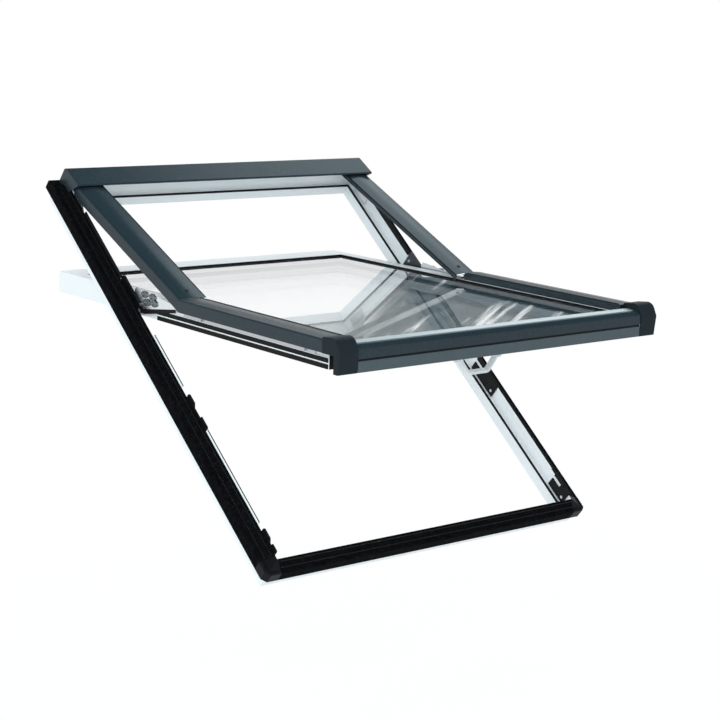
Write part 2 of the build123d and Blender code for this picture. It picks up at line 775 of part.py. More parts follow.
def fascia_pieces():
    """Lower angle with its web over the bottom rail, upper nosing, the strip between, and end caps."""
    angle_line = [
        (-FASCIA_REACH, -FASCIA_DROP),
        (-FASCIA_REACH, FASCIA_WEB_HEIGHT),
        (SASH_LOW + FASCIA_WEB_LAP, FASCIA_WEB_HEIGHT),
    ]
    turned = [(y, z) for y, z in reversed(angle_line)]
    lower = across(folded(turned, [FASCIA_WEB_RADIUS], FASCIA_SKIN), -POCKET_X, POCKET_X)
    strip_face = -FASCIA_REACH - FASCIA_SEAL
    strip = block(-POCKET_X, POCKET_X, strip_face, -FASCIA_REACH, -FASCIA_SEAL_LOW, -FASCIA_WEB_RADIUS)
    front = strip_face - FASCIA_SKIN
    lip = OUTER_PANE_LOW + NOSING_LIP
    nosing_line = [
        (lip, SASH_FACE + SLIDE_GAP),
        (lip, NOSING_BACK),
        (front + NOSING_ROUND, NOSING_TOP),
        (front, NOSING_SHOULDER),
        (front, -NOSING_LOW),
    ]
    nosing_radii = [CLAD_INNER_RADIUS, NOSING_RADIUS, NOSING_RADIUS]
    upper = across(folded(nosing_line, nosing_radii, FASCIA_SKIN), -POCKET_X, POCKET_X)
    cap = fascia_cap()
    return {
        "fascia_lower": lower,
        "fascia_seal": strip,
        "fascia_upper": upper,
        "fascia_cap_right": cap,
        "fascia_cap_left": mirrored(cap),
    }


def fascia_cap():
    """Moulded end cap: a round nose over the corner of the sash, a side wall and a leg in front."""
    nose = -FASCIA_REACH - FASCIA_SEAL - FASCIA_SKIN - CAP_NOSE_PROUD
    foot = -FASCIA_REACH - FASCIA_SEAL
    crown = (nose + CAP_CROWN_SETBACK, CAP_CROWN)
    line = [(CAP_LENGTH, CAP_TOP), crown, (nose, CAP_NOSE_HEIGHT), (foot, -FASCIA_DROP)]
    radii = [CAP_CROWN_RADIUS, 0]
    shell = across(folded(line, radii, CAP_WALL), POCKET_X, CAP_X)
    leg = foot + CAP_LEG
    side_points = [*line, (leg, -FASCIA_DROP), (leg, CLAD_LIFT), (CAP_LENGTH, CLAD_LIFT)]
    side = across(outline(side_points, [0, *radii, 0, 0, 0, 0]), CAP_X - CAP_WALL, CAP_X)
    return shell + side


# Hinges, locking gear and arm linkage


def screw_places():
    """Face, height and level of each screw on the right rabbet wall, fitting by fitting."""
    leaf_low = PIVOT_HEIGHT - FRAME_LEAF_LENGTH / 2 + FRAME_LEAF_RISE
    leaf_level = (FRAME_LEAF_HIGH - FRAME_LEAF_LOW) / 2
    guide_low = GUIDE_HEIGHT - GUIDE_PLATE_BELOW
    keeper_level = -KEEPER_LOW + SCREW_EDGE
    return {
        "leaf": [
            (WALL_X - LEAF, leaf_low + SCREW_EDGE, leaf_level),
            (WALL_X - LEAF, leaf_low + FRAME_LEAF_LENGTH - SCREW_EDGE, leaf_level),
        ],
        "upper_keeper": [(WALL_X - KEEPER, UPPER_KEEPER_TOP - UPPER_KEEPER_LENGTH + SCREW_EDGE, keeper_level)],
        "lower_keeper": [(WALL_X - KEEPER, LOWER_KEEPER_TOP - LOWER_KEEPER_LENGTH + SCREW_EDGE, keeper_level)],
        "guide": [
            (WALL_X - GUIDE_PLATE, guide_low + SCREW_EDGE, -GUIDE_PLATE_LOW / 2),
            (WALL_X - GUIDE_PLATE, GUIDE_HEIGHT, -GUIDE_PLATE_LOW / 2),
        ],
    }


def screw(place):
    """Hexagon screw head in its seat, a little proud of the fitting."""
    x, height, level = place
    head = Pos(height, level) * RegularPolygon(SCREW_HEAD_RADIUS, SCREW_SIDES)
    return across(head, x - SCREW_PROUD, x + SCREW_HEAD)


def drilled(shape, fitting):
    """The fitting's plate with the round seats of its screw heads."""
    for x, height, level in screw_places()[fitting]:
        shape -= rod(SCREW_HEAD_RADIUS + SCREW_GAP, x - OVERRUN, x + SCREW_HEAD, height, level)
    return shape


def frame_leaf():
    """Hinge leaf on the frame's rabbet wall, standing proud of the cover."""
    low = PIVOT_HEIGHT - FRAME_LEAF_LENGTH / 2 + FRAME_LEAF_RISE
    high = low + FRAME_LEAF_LENGTH
    points = [(low, -FRAME_LEAF_LOW), (high, -FRAME_LEAF_LOW), (high, FRAME_LEAF_HIGH), (low, FRAME_LEAF_HIGH)]
    return across(outline(points, [0, 0, LEAF_RADIUS, LEAF_RADIUS]), WALL_X - LEAF, WALL_X)


def sash_leaf():
    """Hinge leaf on the sash stile's side, bored for the pivot pin."""
    low, high = PIVOT_HEIGHT - SASH_LEAF_BELOW, PIVOT_HEIGHT + SASH_LEAF_ABOVE
    points = [(low, -SASH_LEAF_LOW), (high, -SASH_LEAF_LOW), (high, SASH_LEAF_HIGH), (low, SASH_LEAF_HIGH)]
    leaf = across(outline(points, [LEAF_RADIUS, LEAF_RADIUS, 0, 0]), SASH_X, SASH_X + LEAF)
    left, right = SASH_X - OVERRUN, SASH_X + LEAF + OVERRUN
    return leaf - rod(HINGE_PIN_RADIUS + SHAFT_GAP, left, right, PIVOT_HEIGHT, -PIVOT_DEPTH)


def sash_boss(below):
    """Round socket-head boss on the sash leaf, below the pivot."""
    face = SASH_X + LEAF
    place = (PIVOT_HEIGHT - below, -BOSS_DEPTH)
    head = rod(BOSS_RADIUS, face, face + BOSS_HEIGHT, *place)
    hexagon = Pos(*place) * RegularPolygon(BOSS_SOCKET_RADIUS, BOSS_SOCKET_SIDES)
    return head - across(hexagon, face + BOSS_HEIGHT - BOSS_SOCKET_DEPTH, face + BOSS_HEIGHT)


def keeper(top, length, block_length):
    """Keeper plate: block at the low end, shelf, knob at the upper end over an open slot."""
    low = top - length
    half = CAM_RADIUS + SLOT_GAP
    slot_low, slot_high = -LOCK_BAR_DEPTH - half, -LOCK_BAR_DEPTH + half
    knob = top - KEEPER_KNOB_LENGTH
    points = [
        (low, -KEEPER_LOW),
        (top, -KEEPER_LOW),
        (top, slot_low),
        (top - SLOT_LENGTH, slot_low),
        (top - SLOT_LENGTH, slot_high),
        (top, slot_high),
        (top, KEEPER_KNOB),
        (knob, KEEPER_KNOB),
        (knob - KEEPER_SLOPE, KEEPER_SHELF),
        (low + block_length, KEEPER_SHELF),
        (low + block_length, KEEPER_BLOCK),
        (low, KEEPER_BLOCK),
    ]
    round_corners = (6, 7, 11)
    radii = [KEEPER_RADIUS if place in round_corners else 0 for place in range(len(points))]
    return across(outline(points, radii), WALL_X - KEEPER, WALL_X)


def locking_bar():
    """Flat bar in the flange's groove, with a round cam for each keeper."""
    half = LOCK_BAR_WIDTH / 2
    left, right = FLANGE_X - LOCK_BAR, FLANGE_X
    bar = block(left, right, LOCK_BAR_LOW, LOCK_BAR_HIGH, -LOCK_BAR_DEPTH - half, -LOCK_BAR_DEPTH + half)
    for place in CAM_PLACES:
        bar += rod(CAM_RADIUS, right, right + CAM_HEIGHT, place, -LOCK_BAR_DEPTH)
    return bar


def arm_pivot_bracket():
    """Bracket on the bead under the arm's low end: foot, upright and riveted pin."""
    low, high = ARM_PIN_HEIGHT - ARM_BRACKET_LENGTH / 2, ARM_PIN_HEIGHT + ARM_BRACKET_LENGTH / 2
    face = ARM_EAR_X - SLIDE_GAP
    wall = SASH_X - BEAD_CHAMFER
    foot = block(face - ARM_BRACKET_WIDTH, wall, low, high, BEAD_TOP, BEAD_TOP + ARM_BRACKET_FOOT)
    points = [
        (low, BEAD_TOP),
        (high, BEAD_TOP),
        (ARM_PIN_HEIGHT + ARM_BRACKET_TOP_HALF, ARM_PIN_DEPTH + ARM_BRACKET_TOP),
        (ARM_PIN_HEIGHT - ARM_BRACKET_TOP_HALF, ARM_PIN_DEPTH + ARM_BRACKET_TOP),
    ]
    upright = across(outline(points, [0, 0, ARM_BRACKET_RADIUS, ARM_BRACKET_RADIUS]), wall - ARM_EAR, wall)
    pin = rod(ARM_PIN_RADIUS, wall, ARM_EAR_X + ARM_EAR, ARM_PIN_HEIGHT, ARM_PIN_DEPTH)
    return foot + upright + pin


def guide_bracket():
    """Plate on the frame's rabbet wall with the pin that guides the arm's upper end."""
    low, high = GUIDE_HEIGHT - GUIDE_PLATE_BELOW, GUIDE_HEIGHT + GUIDE_PLATE_ABOVE
    points = [
        (low, -GUIDE_PLATE_LOW),
        (high, -GUIDE_PLATE_LOW),
        (high, GUIDE_PLATE_HIGH),
        (high - GUIDE_PLATE_ABOVE * 2, GUIDE_PLATE_HIGH),
        (low, -COVER_EDGE),
    ]
    plate = across(outline(points, [0, 0, LEAF_RADIUS, LEAF_RADIUS, 0]), WALL_X - GUIDE_PLATE, WALL_X)
    pin = rod(GUIDE_PIN_RADIUS, SASH_X - GUIDE_PIN_REACH, WALL_X - GUIDE_PLATE, GUIDE_HEIGHT, GUIDE_DEPTH)
    return plate + pin


# Places of the linkage as the sash swings


def swung(height, level, angle):
    """Place of a sash point once the sash has opened by an angle in degrees."""
    turn = math.radians(angle)
    along, out = height - PIVOT_HEIGHT, level + PIVOT_DEPTH
    return (
        PIVOT_HEIGHT + along * math.cos(turn) + out * math.sin(turn),
        -PIVOT_DEPTH - along * math.sin(turn) + out * math.cos(turn),
    )


def guide_run(angle):
    """Distance from the arm's pin to its guide, and the fall of that line, at a sash angle."""
    height, level = swung(ARM_PIN_HEIGHT, ARM_PIN_DEPTH, angle)
    along, fall = GUIDE_HEIGHT - height, level - GUIDE_DEPTH
    return math.hypot(along, fall), math.degrees(math.atan2(fall, along))


def arm_angle(angle):
    """Lift of the arm from the frame that keeps its slot on the guide pin."""
    offset = ARM_PIN_DEPTH - GUIDE_DEPTH
    run, fall = guide_run(angle)
    return fall - math.degrees(math.asin(offset / run))


def guide_stops():
    """Place of the guide pin along the arm's slot with the sash open and shut."""
    offset = ARM_PIN_DEPTH - GUIDE_DEPTH
    runs = [guide_run(angle)[0] for angle in (SASH_OPENING, 0)]
    return [ARM_PIN_HEIGHT + math.sqrt(run * run - offset * offset) for run in runs]


def arm_cover():
    """Crowned arm cover, a little wider than the cladding, its side tapered at the upper end."""
    line = [
        (ARM_X, ARM_SIDE_LOW),
        (ARM_X, ARM_SHOULDER),
        ((ARM_X + ARM_INSIDE) / 2, ARM_CROWN),
        (ARM_INSIDE, ARM_INNER_TOP),
        (ARM_INSIDE, ARM_INNER_LOW),
    ]
    section = folded(line, [ARM_EDGE_RADIUS, ARM_CROWN_RADIUS, ARM_INNER_RADIUS], ARM_SKIN)
    low, high = ARM_PIN_HEIGHT - ARM_BELOW_PIN, guide_stops()[1] + ARM_PAST_GUIDE
    cover = up_slope(section, low, high)
    taper = outline(
        [
            (high + OVERRUN, ARM_SIDE_LOW - OVERRUN),
            (high + OVERRUN, ARM_SIDE_LOW + ARM_TAPER_DEPTH),
            (high, ARM_SIDE_LOW + ARM_TAPER_DEPTH),
            (high - ARM_TAPER_LENGTH, ARM_SIDE_LOW),
            (high - ARM_TAPER_LENGTH, ARM_SIDE_LOW - OVERRUN),
        ]
    )
    return cover - across(taper, ARM_INSIDE - OVERRUN, ARM_X + OVERRUN)


def arm_strip():
    """Steel strip under the arm's crown, with a bored ear at the low end and a slotted lug at the upper."""
    opened, shut = guide_stops()
    under = ARM_INNER_TOP - ARM_SKIN
    low, high = ARM_PIN_HEIGHT - ARM_EAR_RADIUS, shut + STRIP_PAST_GUIDE
    left, right = ARM_EAR_X, ARM_EAR_X + ARM_EAR
    strip = block(right - STRIP_WIDTH, right, low, high, under - STRIP, under)
    ear_top = under - STRIP
    ear = across(
        outline(
            [
                (low, ARM_PIN_DEPTH),
                (ARM_PIN_HEIGHT + ARM_EAR_RADIUS, ARM_PIN_DEPTH),
                (ARM_PIN_HEIGHT + ARM_EAR_RADIUS, ear_top),
                (low, ear_top),
            ]
        ),
        left,
        right,
    )
    ear += rod(ARM_EAR_RADIUS, left, right, ARM_PIN_HEIGHT, ARM_PIN_DEPTH)
    ear -= rod(ARM_PIN_RADIUS + SHAFT_GAP, left - OVERRUN, right + OVERRUN, ARM_PIN_HEIGHT, ARM_PIN_DEPTH)
    slot_half = GUIDE_PIN_RADIUS + GUIDE_SLOT_GAP
    lug_half = slot_half + GUIDE_SLOT_WALL
    lug = across(
        outline(
            [
                (opened - lug_half, GUIDE_DEPTH - lug_half),
                (high, GUIDE_DEPTH - lug_half),
                (high, ear_top),
                (opened - lug_half, ear_top),
            ],
            [LEAF_RADIUS, 0, 0, 0],
        ),
        left,
        right,
    )
    slot = across(
        outline(
            [
                (opened - slot_half, GUIDE_DEPTH - slot_half),
                (shut + slot_half, GUIDE_DEPTH - slot_half),
                (shut + slot_half, GUIDE_DEPTH + slot_half),
                (opened - slot_half, GUIDE_DEPTH + slot_half),
            ],
            [GUIDE_PIN_RADIUS] * 4,
        ),
        left - OVERRUN,
        right + OVERRUN,
    )
    return strip + ear + (lug - slot)


# Handle


def handle_pieces():
    """Base with two ears on the bottom rail's room side, and the bow that folds between them."""
    middle = (SASH_NOTCH + BOTTOM_RAIL_HIGH) / 2
    half, side = HANDLE_BASE_LENGTH / 2, HANDLE_BASE_WIDTH / 2
    low, high = middle - side, middle + side
    plate_points = [(-half, low), (half, low), (half, high), (-half, high)]
    base_face = -SASH_DEPTH - HANDLE_BASE
    base = slab(outline(plate_points, [HANDLE_BASE_RADIUS] * len(plate_points)), base_face, -SASH_DEPTH)
    pivot = base_face - HANDLE_PIVOT_DROP
    root = half - HANDLE_EAR
    ear = across(
        outline(
            [
                (middle - HANDLE_EAR_RADIUS, base_face),
                (middle + HANDLE_EAR_RADIUS, base_face),
                (middle + HANDLE_EAR_RADIUS, pivot - HANDLE_EAR_RADIUS),
                (middle - HANDLE_EAR_RADIUS, pivot - HANDLE_EAR_RADIUS),
            ],
            [0, 0, HANDLE_EAR_RADIUS - HANDLE_EDGE, HANDLE_EAR_RADIUS - HANDLE_EDGE],
        ),
        root - HANDLE_EDGE,
        half - HANDLE_EDGE,
    )
    pin = rod(HANDLE_PIVOT_RADIUS, root - HANDLE_EDGE - HANDLE_BAR / 2, root - HANDLE_EDGE, middle, pivot)
    base += ear + pin
    base += mirrored(ear + pin)
    outer = root - HANDLE_EDGE - HANDLE_ROOT_GAP
    grip = HANDLE_GRIP_LENGTH / 2
    eye = HANDLE_WIDTH / 2
    line = [
        (-outer, pivot + eye),
        (-outer, pivot - eye),
        (-grip, pivot - HANDLE_REACH),
        (grip, pivot - HANDLE_REACH),
        (outer, pivot - eye),
        (outer, pivot + eye),
    ]
    radii = [HANDLE_BEND] * 4
    bow = up_slope(folded(line, radii, HANDLE_BAR), middle - eye, middle + eye)
    bow = chamfer(bow.edges().filter_by(Axis.Y, reverse=True), HANDLE_EDGE)
    bore = rod(HANDLE_PIVOT_RADIUS + SHAFT_GAP, -half, half, middle, pivot)
    return {"handle_base": base, "handle_bow": bow - bore}


# Assembly


def both_sides(name, right):
    return {f"{name}_right": right, f"{name}_left": mirrored(right)}


def group(shapes):
    """Separate like pieces on both sides, kept together in one node."""
    return Compound(children=[*shapes, *[mirrored(shape) for shape in shapes]])


def frame_screws():
    """Screws that hold the hinge leaves, the keepers and the guide brackets."""
    return group([screw(place) for places in screw_places().values() for place in places])


def frame_nodes():
    pin = rod(HINGE_PIN_RADIUS, SASH_X + SLIDE_GAP, WALL_X - LEAF, PIVOT_HEIGHT, -PIVOT_DEPTH)
    upper = keeper(UPPER_KEEPER_TOP, UPPER_KEEPER_LENGTH, KEEPER_BLOCK_LENGTH)
    lower = keeper(LOWER_KEEPER_TOP, LOWER_KEEPER_LENGTH, LOWER_BLOCK_LENGTH)
    return {
        **frame_pieces(),
        **frame_seal(),
        **cover_pieces(),
        **hood_pieces(),
        **both_sides("hinge_frame_leaf", drilled(frame_leaf(), "leaf")),
        "hinge_pins": group([pin]),
        **both_sides("upper_keeper", drilled(upper, "upper_keeper")),
        **both_sides("lower_keeper", drilled(lower, "lower_keeper")),
        **both_sides("arm_guide_bracket", drilled(guide_bracket(), "guide")),
        "frame_screws": frame_screws(),
    }


def sash_nodes():
    return {
        **both_sides("sash_stile", sash_stile()),
        "sash_top_rail": sash_top_rail(),
        "sash_bottom_rail": sash_bottom_rail(),
        **glass_pieces(),
        **bead_pieces(),
        **sash_seals(),
        **both_sides("sash_cladding", sash_cladding()),
        **fascia_pieces(),
        **both_sides("hinge_sash_leaf", sash_leaf()),
        "hinge_bosses": group([sash_boss(below) for below in BOSS_PLACES]),
        **both_sides("arm_pivot_bracket", arm_pivot_bracket()),
        **both_sides("locking_bar", locking_bar()),
        **handle_pieces(),
    }


def arm_nodes():
    rivet_place = (ARM_X + ARM_INSIDE) / 2
    rivet = Pos(rivet_place, ARM_PIN_HEIGHT + RIVET_SETBACK, ARM_CROWN - ARM_SKIN) * Cylinder(
        RIVET_RADIUS, ARM_SKIN + RIVET_HEAD, align=(Align.CENTER, Align.CENTER, Align.MIN)
    )
    return {
        **both_sides("arm_cover", arm_cover() - rivet),
        **both_sides("arm_strip", arm_strip()),
        **both_sides("arm_rivet", rivet),
    }


def turn_about(height, level, angle):
    """Turn about a line across the window, as a location."""
    return Pos(0, height, level) * Rot(angle, 0, 0) * Pos(0, -height, -level)


SEAT_HEIGHT = (ROOF_FLANGE_REACH + FACE_WIDTH + LEDGE_WIDTH) / 2 * STRETCH_SHARE
ON_ROOF = Rot(ROOF_PITCH, 0, 0) * Pos(0, -SEAT_HEIGHT, FRAME_DEPTH)
SASH_SWING = turn_about(PIVOT_HEIGHT, -PIVOT_DEPTH, -SASH_OPENING)
ARM_SWING = SASH_SWING * turn_about(ARM_PIN_HEIGHT, ARM_PIN_DEPTH, SASH_OPENING - arm_angle(SASH_OPENING))


def main():
    os.makedirs("parts", exist_ok=True)
    groups = ((frame_nodes(), Location()), (sash_nodes(), SASH_SWING), (arm_nodes(), ARM_SWING))
    for nodes, swing in groups:
        for name, shape in nodes.items():
            export_step(ON_ROOF * swing * shape, f"parts/{name}.step")


main()
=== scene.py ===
"""Looks of a roof window with a raised pivot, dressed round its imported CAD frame."""

import logging
import math
from dataclasses import dataclass, field
from enum import Enum
from typing import Any, Iterable, Sequence

import bmesh
import bpy
import numpy as np
from mathutils import Euler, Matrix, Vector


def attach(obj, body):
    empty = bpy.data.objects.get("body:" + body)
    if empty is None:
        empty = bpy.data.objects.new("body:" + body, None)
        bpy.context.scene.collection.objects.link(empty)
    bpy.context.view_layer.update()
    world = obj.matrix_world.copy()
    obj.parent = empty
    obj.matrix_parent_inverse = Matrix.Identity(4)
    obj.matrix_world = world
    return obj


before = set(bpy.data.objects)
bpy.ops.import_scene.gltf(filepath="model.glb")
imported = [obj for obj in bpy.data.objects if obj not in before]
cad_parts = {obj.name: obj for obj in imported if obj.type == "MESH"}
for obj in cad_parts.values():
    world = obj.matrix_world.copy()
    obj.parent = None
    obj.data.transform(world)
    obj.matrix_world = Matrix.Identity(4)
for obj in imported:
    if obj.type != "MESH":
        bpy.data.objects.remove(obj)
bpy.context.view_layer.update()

LOG = logging.getLogger("roof_window")
MM_PER_M = 1000.0
EDGE_SEGMENTS = 2
NOISE_ROUGHNESS = 0.55
NOISE_MEAN = 0.5

Colour = tuple[float, float, float]
Pair = tuple[float, float]
Points = tuple[Pair, ...]
WHITE: Colour = (1.0, 1.0, 1.0)


class Value:
    """Number on a shader socket, with arithmetic that adds Math nodes."""

    def __init__(self, shader: "Shader", socket: bpy.types.NodeSocket) -> None:
        """Keep the shader that owns the socket."""
        self.shader = shader
        self.socket = socket

    def _math(self, operation: str, first: Any, second: Any) -> "Value":
        """Add one Math node.

        Args:
            operation: name of the Math node's operation.
            first: first operand, a Value or a number.
            second: second operand, a Value or a number.

        Returns:
            The node's result.
        """
        node = self.shader.node("ShaderNodeMath", {"operation": operation}, {0: first, 1: second})
        return Value(self.shader, node.outputs[0])

    def __add__(self, other: Any) -> "Value":
        """Sum."""
        return self._math("ADD", self, other)

    __radd__ = __add__

    def __sub__(self, other: Any) -> "Value":
        """Difference."""
        return self._math("SUBTRACT", self, other)

    def __rsub__(self, other: Any) -> "Value":
        """Difference with this value second."""
        return self._math("SUBTRACT", other, self)

    def __mul__(self, other: Any) -> "Value":
        """Product."""
        return self._math("MULTIPLY", self, other)

    __rmul__ = __mul__

    def __pow__(self, other: Any) -> "Value":
        """Power."""
        return self._math("POWER", self, other)

    def larger(self, other: Any) -> "Value":
        """Larger of two values."""
        return self._math("MAXIMUM", self, other)


class Shader:
    """Node tree of one material or world."""

    def __init__(self, tree: bpy.types.NodeTree, output: str = "ShaderNodeOutputMaterial") -> None:
        """Empty the tree and give it one output node."""
        self.tree = tree
        tree.nodes.clear()
        self.output = tree.nodes.new(output)

    def node(
        self, kind: str, settings: dict | None = None, inputs: dict | None = None
    ) -> bpy.types.Node:
        """Add any node.

        Args:
            kind: Blender's type name of the node.
            settings: properties of the node, set before its sockets.
            inputs: socket name or number to a number, a colour, a Value or another node's output.

        Returns:
            The new node.
        """
        node = self.tree.nodes.new(kind)
        for name, setting in (settings or {}).items():
            setattr(node, name, setting)
        for name, source in (inputs or {}).items():
            self.feed(node.inputs[name], source)
        return node

    def feed(self, socket: bpy.types.NodeSocket, source: Any) -> None:
        """Link a Value or an output to a socket, or set the socket's own number."""
        if isinstance(source, Value):
            source = source.socket
        if isinstance(source, bpy.types.NodeSocket):
            self.tree.links.new(source, socket)
        else:
            socket.default_value = source

    def value(self, node: bpy.types.Node, output: str | int = 0) -> Value:
        """Wrap a node's output for arithmetic."""
        return Value(self, node.outputs[output])

    def place(self, scale: Sequence[float], turn: float = 0.0) -> bpy.types.NodeSocket:
        """Object coordinates, turned about the x axis by degrees and scaled.

        Args:
            scale: factor on each axis after the turn.
            turn: angle in degrees that lays the pattern's y axis up the slope.

        Returns:
            The mapped vector.
        """
        coordinates = self.node("ShaderNodeTexCoord")
        turned = self.node(
            "ShaderNodeMapping",
            None,
            {"Vector": coordinates.outputs["Object"], "Rotation": (math.radians(-turn), 0.0, 0.0)},
        )
        scaled = self.node(
            "ShaderNodeVectorMath",
            {"operation": "MULTIPLY"},
            {0: turned.outputs["Vector"], 1: tuple(scale)},
        )
        return scaled.outputs["Vector"]

    def noise(self, vector: bpy.types.NodeSocket, scale: float, detail: float) -> Value:
        """Noise between zero and one at a scale."""
        inputs = {"Vector": vector, "Scale": scale, "Detail": detail, "Roughness": NOISE_ROUGHNESS}
        return self.value(self.node("ShaderNodeTexNoise", None, inputs))

    def eased(self, source: Any, span: Pair, levels: Pair = (0.0, 1.0)) -> Value:
        """Smooth step of a value.

        Args:
            source: value that is mapped.
            span: where the step starts and ends.
            levels: results at those two places.

        Returns:
            The eased level.
        """
        inputs = {"Value": source, 1: span[0], 2: span[1], 3: levels[0], 4: levels[1]}
        return self.value(self.node("ShaderNodeMapRange", {"interpolation_type": "SMOOTHSTEP"}, inputs))

    def seen(self) -> Value:
        """One for rays from the camera, off a mirror or through glass, else zero."""
        path = self.node("ShaderNodeLightPath")
        seen = self.value(path, "Is Camera Ray").larger(self.value(path, "Is Glossy Ray"))
        return seen.larger(self.value(path, "Is Transmission Ray"))

    def blend(self, first: Any, second: Any, share: Any) -> bpy.types.NodeSocket:
        """Mix two colours by a share."""
        node = self.node("ShaderNodeMix", {"data_type": "RGBA"}, {0: share, 6: first, 7: second})
        return node.outputs[2]

    def mix(self, share: Value, first: bpy.types.Node, second: bpy.types.Node) -> None:
        """Mix two shaders by a share and join the result to the output."""
        inputs = {0: share, 1: first.outputs[0], 2: second.outputs[0]}
        self.close(self.node("ShaderNodeMixShader", None, inputs))

    def close(self, last: bpy.types.Node) -> None:
        """Join the last shader to the output."""
        self.tree.links.new(last.outputs[0], self.output.inputs["Surface"])


def rgba(colour: Colour) -> tuple[float, float, float, float]:
    """Colour with full alpha."""
    return (*colour, 1.0)


def new_material(name: str) -> tuple[bpy.types.Material, Shader]:
    """New node material and its shader."""
    made = bpy.data.materials.new(name)
    made.use_nodes = True
    return made, Shader(made.node_tree)


class Lie(Enum):
    """Way a piece's long lines lie: on the frame's slope, on the open sash, or on an arm."""

    FRAME = 41.7
    SASH = 3.1
    ARM = 27.61


@dataclass(frozen=True)
class Finish:
    """Opaque finish: a colour that drifts a little, fine grain in the surface, and drawn lines along it."""

    name: str
    colour: Colour
    drift_colour: Colour
    roughness: float
    roughness_drift: float = 0.08
    metallic: float = 0.0
    coat: float = 0.0
    coat_roughness: float = 0.2
    specular: float = 0.5
    drift_scale: float = 5.0
    drift_detail: float = 4.0
    grain_scale: float = 900.0
    grain_detail: float = 2.0
    grain_depth: float = 0.00004
    line_scale: float = 0.0
    line_stretch: float = 1.5
    line_detail: float = 3.0
    line_depth: float = 0.0
    dust: float = 0.0
    dust_colour: Colour = (0.5, 0.52, 0.55)
    speck_fineness: float = 24.0
    speck_detail: float = 6.0
    speck_power: float = 3.0

    def material(self, lie: Lie) -> bpy.types.Material:
        """Build the finish for pieces that lie one way.

        Args:
            lie: way that the piece's long lines run.

        Returns:
            A new node material.
        """
        made, shader = new_material(f"{self.name}_{lie.name.lower()}")
        even = shader.place((1.0, 1.0, 1.0), lie.value)
        drift = shader.noise(even, self.drift_scale, self.drift_detail)
        grain = shader.noise(even, self.grain_scale, self.grain_detail)
        colour = shader.blend(rgba(self.colour), rgba(self.drift_colour), drift)
        if self.dust:
            specks = shader.noise(even, self.drift_scale * self.speck_fineness, self.speck_detail)
            share = (specks ** self.speck_power) * self.dust
            colour = shader.blend(colour, rgba(self.dust_colour), share)
        height = grain
        if self.line_scale:
            drawn = shader.place((self.line_scale, self.line_stretch, self.line_scale), lie.value)
            lines = shader.noise(drawn, 1.0, self.line_detail)
            height = grain + lines * (self.line_depth / self.grain_depth)
        roughness = self.roughness + (drift - NOISE_MEAN) * self.roughness_drift
        roughness = roughness + (grain - NOISE_MEAN) * self.roughness_drift
        bump = shader.node(
            "ShaderNodeBump", None, {"Strength": 1.0, "Distance": self.grain_depth, "Height": height}
        )
        body = shader.node(
            "ShaderNodeBsdfPrincipled",
            None,
            {
                "Base Color": colour,
                "Roughness": roughness,
                "Metallic": self.metallic,
                "Coat Weight": self.coat,
                "Coat Roughness": self.coat_roughness,
                "Specular IOR Level": self.specular,
                "Normal": bump.outputs["Normal"],
            },
        )
        shader.close(body)
        return made


@dataclass(frozen=True)
class PaneFinish:
    """Clear glass: what lies behind shows through a faint tint, and a low angle mirrors more."""

    name: str
    tint: Colour
    gloss_least: float
    gloss_power: float
    haze: float
    mirror: Colour = (0.98, 0.99, 0.995)
    smear_scale: float = 9.0
    smear_detail: float = 5.0
    facing_blend: float = 0.5

    def material(self, lie: Lie) -> bpy.types.Material:
        """Build the glass.

        Args:
            lie: way that the pane lies, for its faint smears.

        Returns:
            A new node material.
        """
        made, shader = new_material(self.name)
        even = shader.place((1.0, 1.0, 1.0), lie.value)
        smear = shader.noise(even, self.smear_scale, self.smear_detail)
        through = shader.node("ShaderNodeBsdfTransparent", None, {"Color": rgba(self.tint)})
        mirror = shader.node(
            "ShaderNodeBsdfPrincipled",
            None,
            {"Base Color": rgba(self.mirror), "Metallic": 1.0, "Roughness": smear * self.haze},
        )
        weight = shader.node("ShaderNodeLayerWeight", None, {"Blend": self.facing_blend})
        facing = shader.value(weight, "Facing")
        gloss = self.gloss_least + (facing ** self.gloss_power) * (1.0 - self.gloss_least)
        behind = shader.value(shader.node("ShaderNodeNewGeometry"), "Backfacing")
        shader.mix(gloss * (1.0 - behind), through, mirror)
        return made


WHITE_PLASTIC = Finish("white_plastic", (0.80, 0.835, 0.85), (0.75, 0.79, 0.81), 0.3, grain_depth=0.00002)
BLACK_COVER = Finish(
    "black_cover",
    (0.0014, 0.0016, 0.0018),
    (0.0026, 0.0029, 0.0033),
    0.5,
    specular=0.005,
    line_scale=300.0,
    line_depth=0.00003,
    dust=0.03,
)
BLACK_PLASTIC = Finish(
    "black_plastic", (0.010, 0.016, 0.020), (0.015, 0.022, 0.027), 0.45, specular=0.06, grain_depth=0.00008
)
ANTHRACITE = Finish(
    "anthracite",
    (0.010, 0.021, 0.028),
    (0.014, 0.027, 0.035),
    0.26,
    specular=0.2,
    line_scale=220.0,
    line_depth=0.00003,
    dust=0.04,
)
# Anthracite painted lighter for the fascia's lower face and its facing: painted light on that face, which
# is the same anthracite as the rest.
FASCIA_PAINTED_LIGHT = Finish(
    "fascia_painted_light",
    (0.040, 0.062, 0.073),
    (0.048, 0.072, 0.084),
    0.34,
    specular=0.3,
    line_scale=220.0,
    line_depth=0.00003,
    dust=0.04,
)
FITTING_BLACK = Finish(
    "fitting_black", (0.0035, 0.0042, 0.005), (0.006, 0.007, 0.008), 0.4, specular=0.1, grain_depth=0.00008
)
BEAD_BLACK = Finish("bead_black", (0.006, 0.0065, 0.007), (0.009, 0.0096, 0.0104), 0.3, specular=0.25)
DARK_STEEL = Finish(
    "dark_steel",
    (0.045, 0.052, 0.058),
    (0.09, 0.10, 0.11),
    0.26,
    metallic=1.0,
    line_scale=400.0,
    line_depth=0.00003,
)
BOSS_STEEL = Finish(
    "boss_steel", (0.21, 0.235, 0.245), (0.10, 0.12, 0.13), 0.24, metallic=1.0, drift_scale=60.0
)
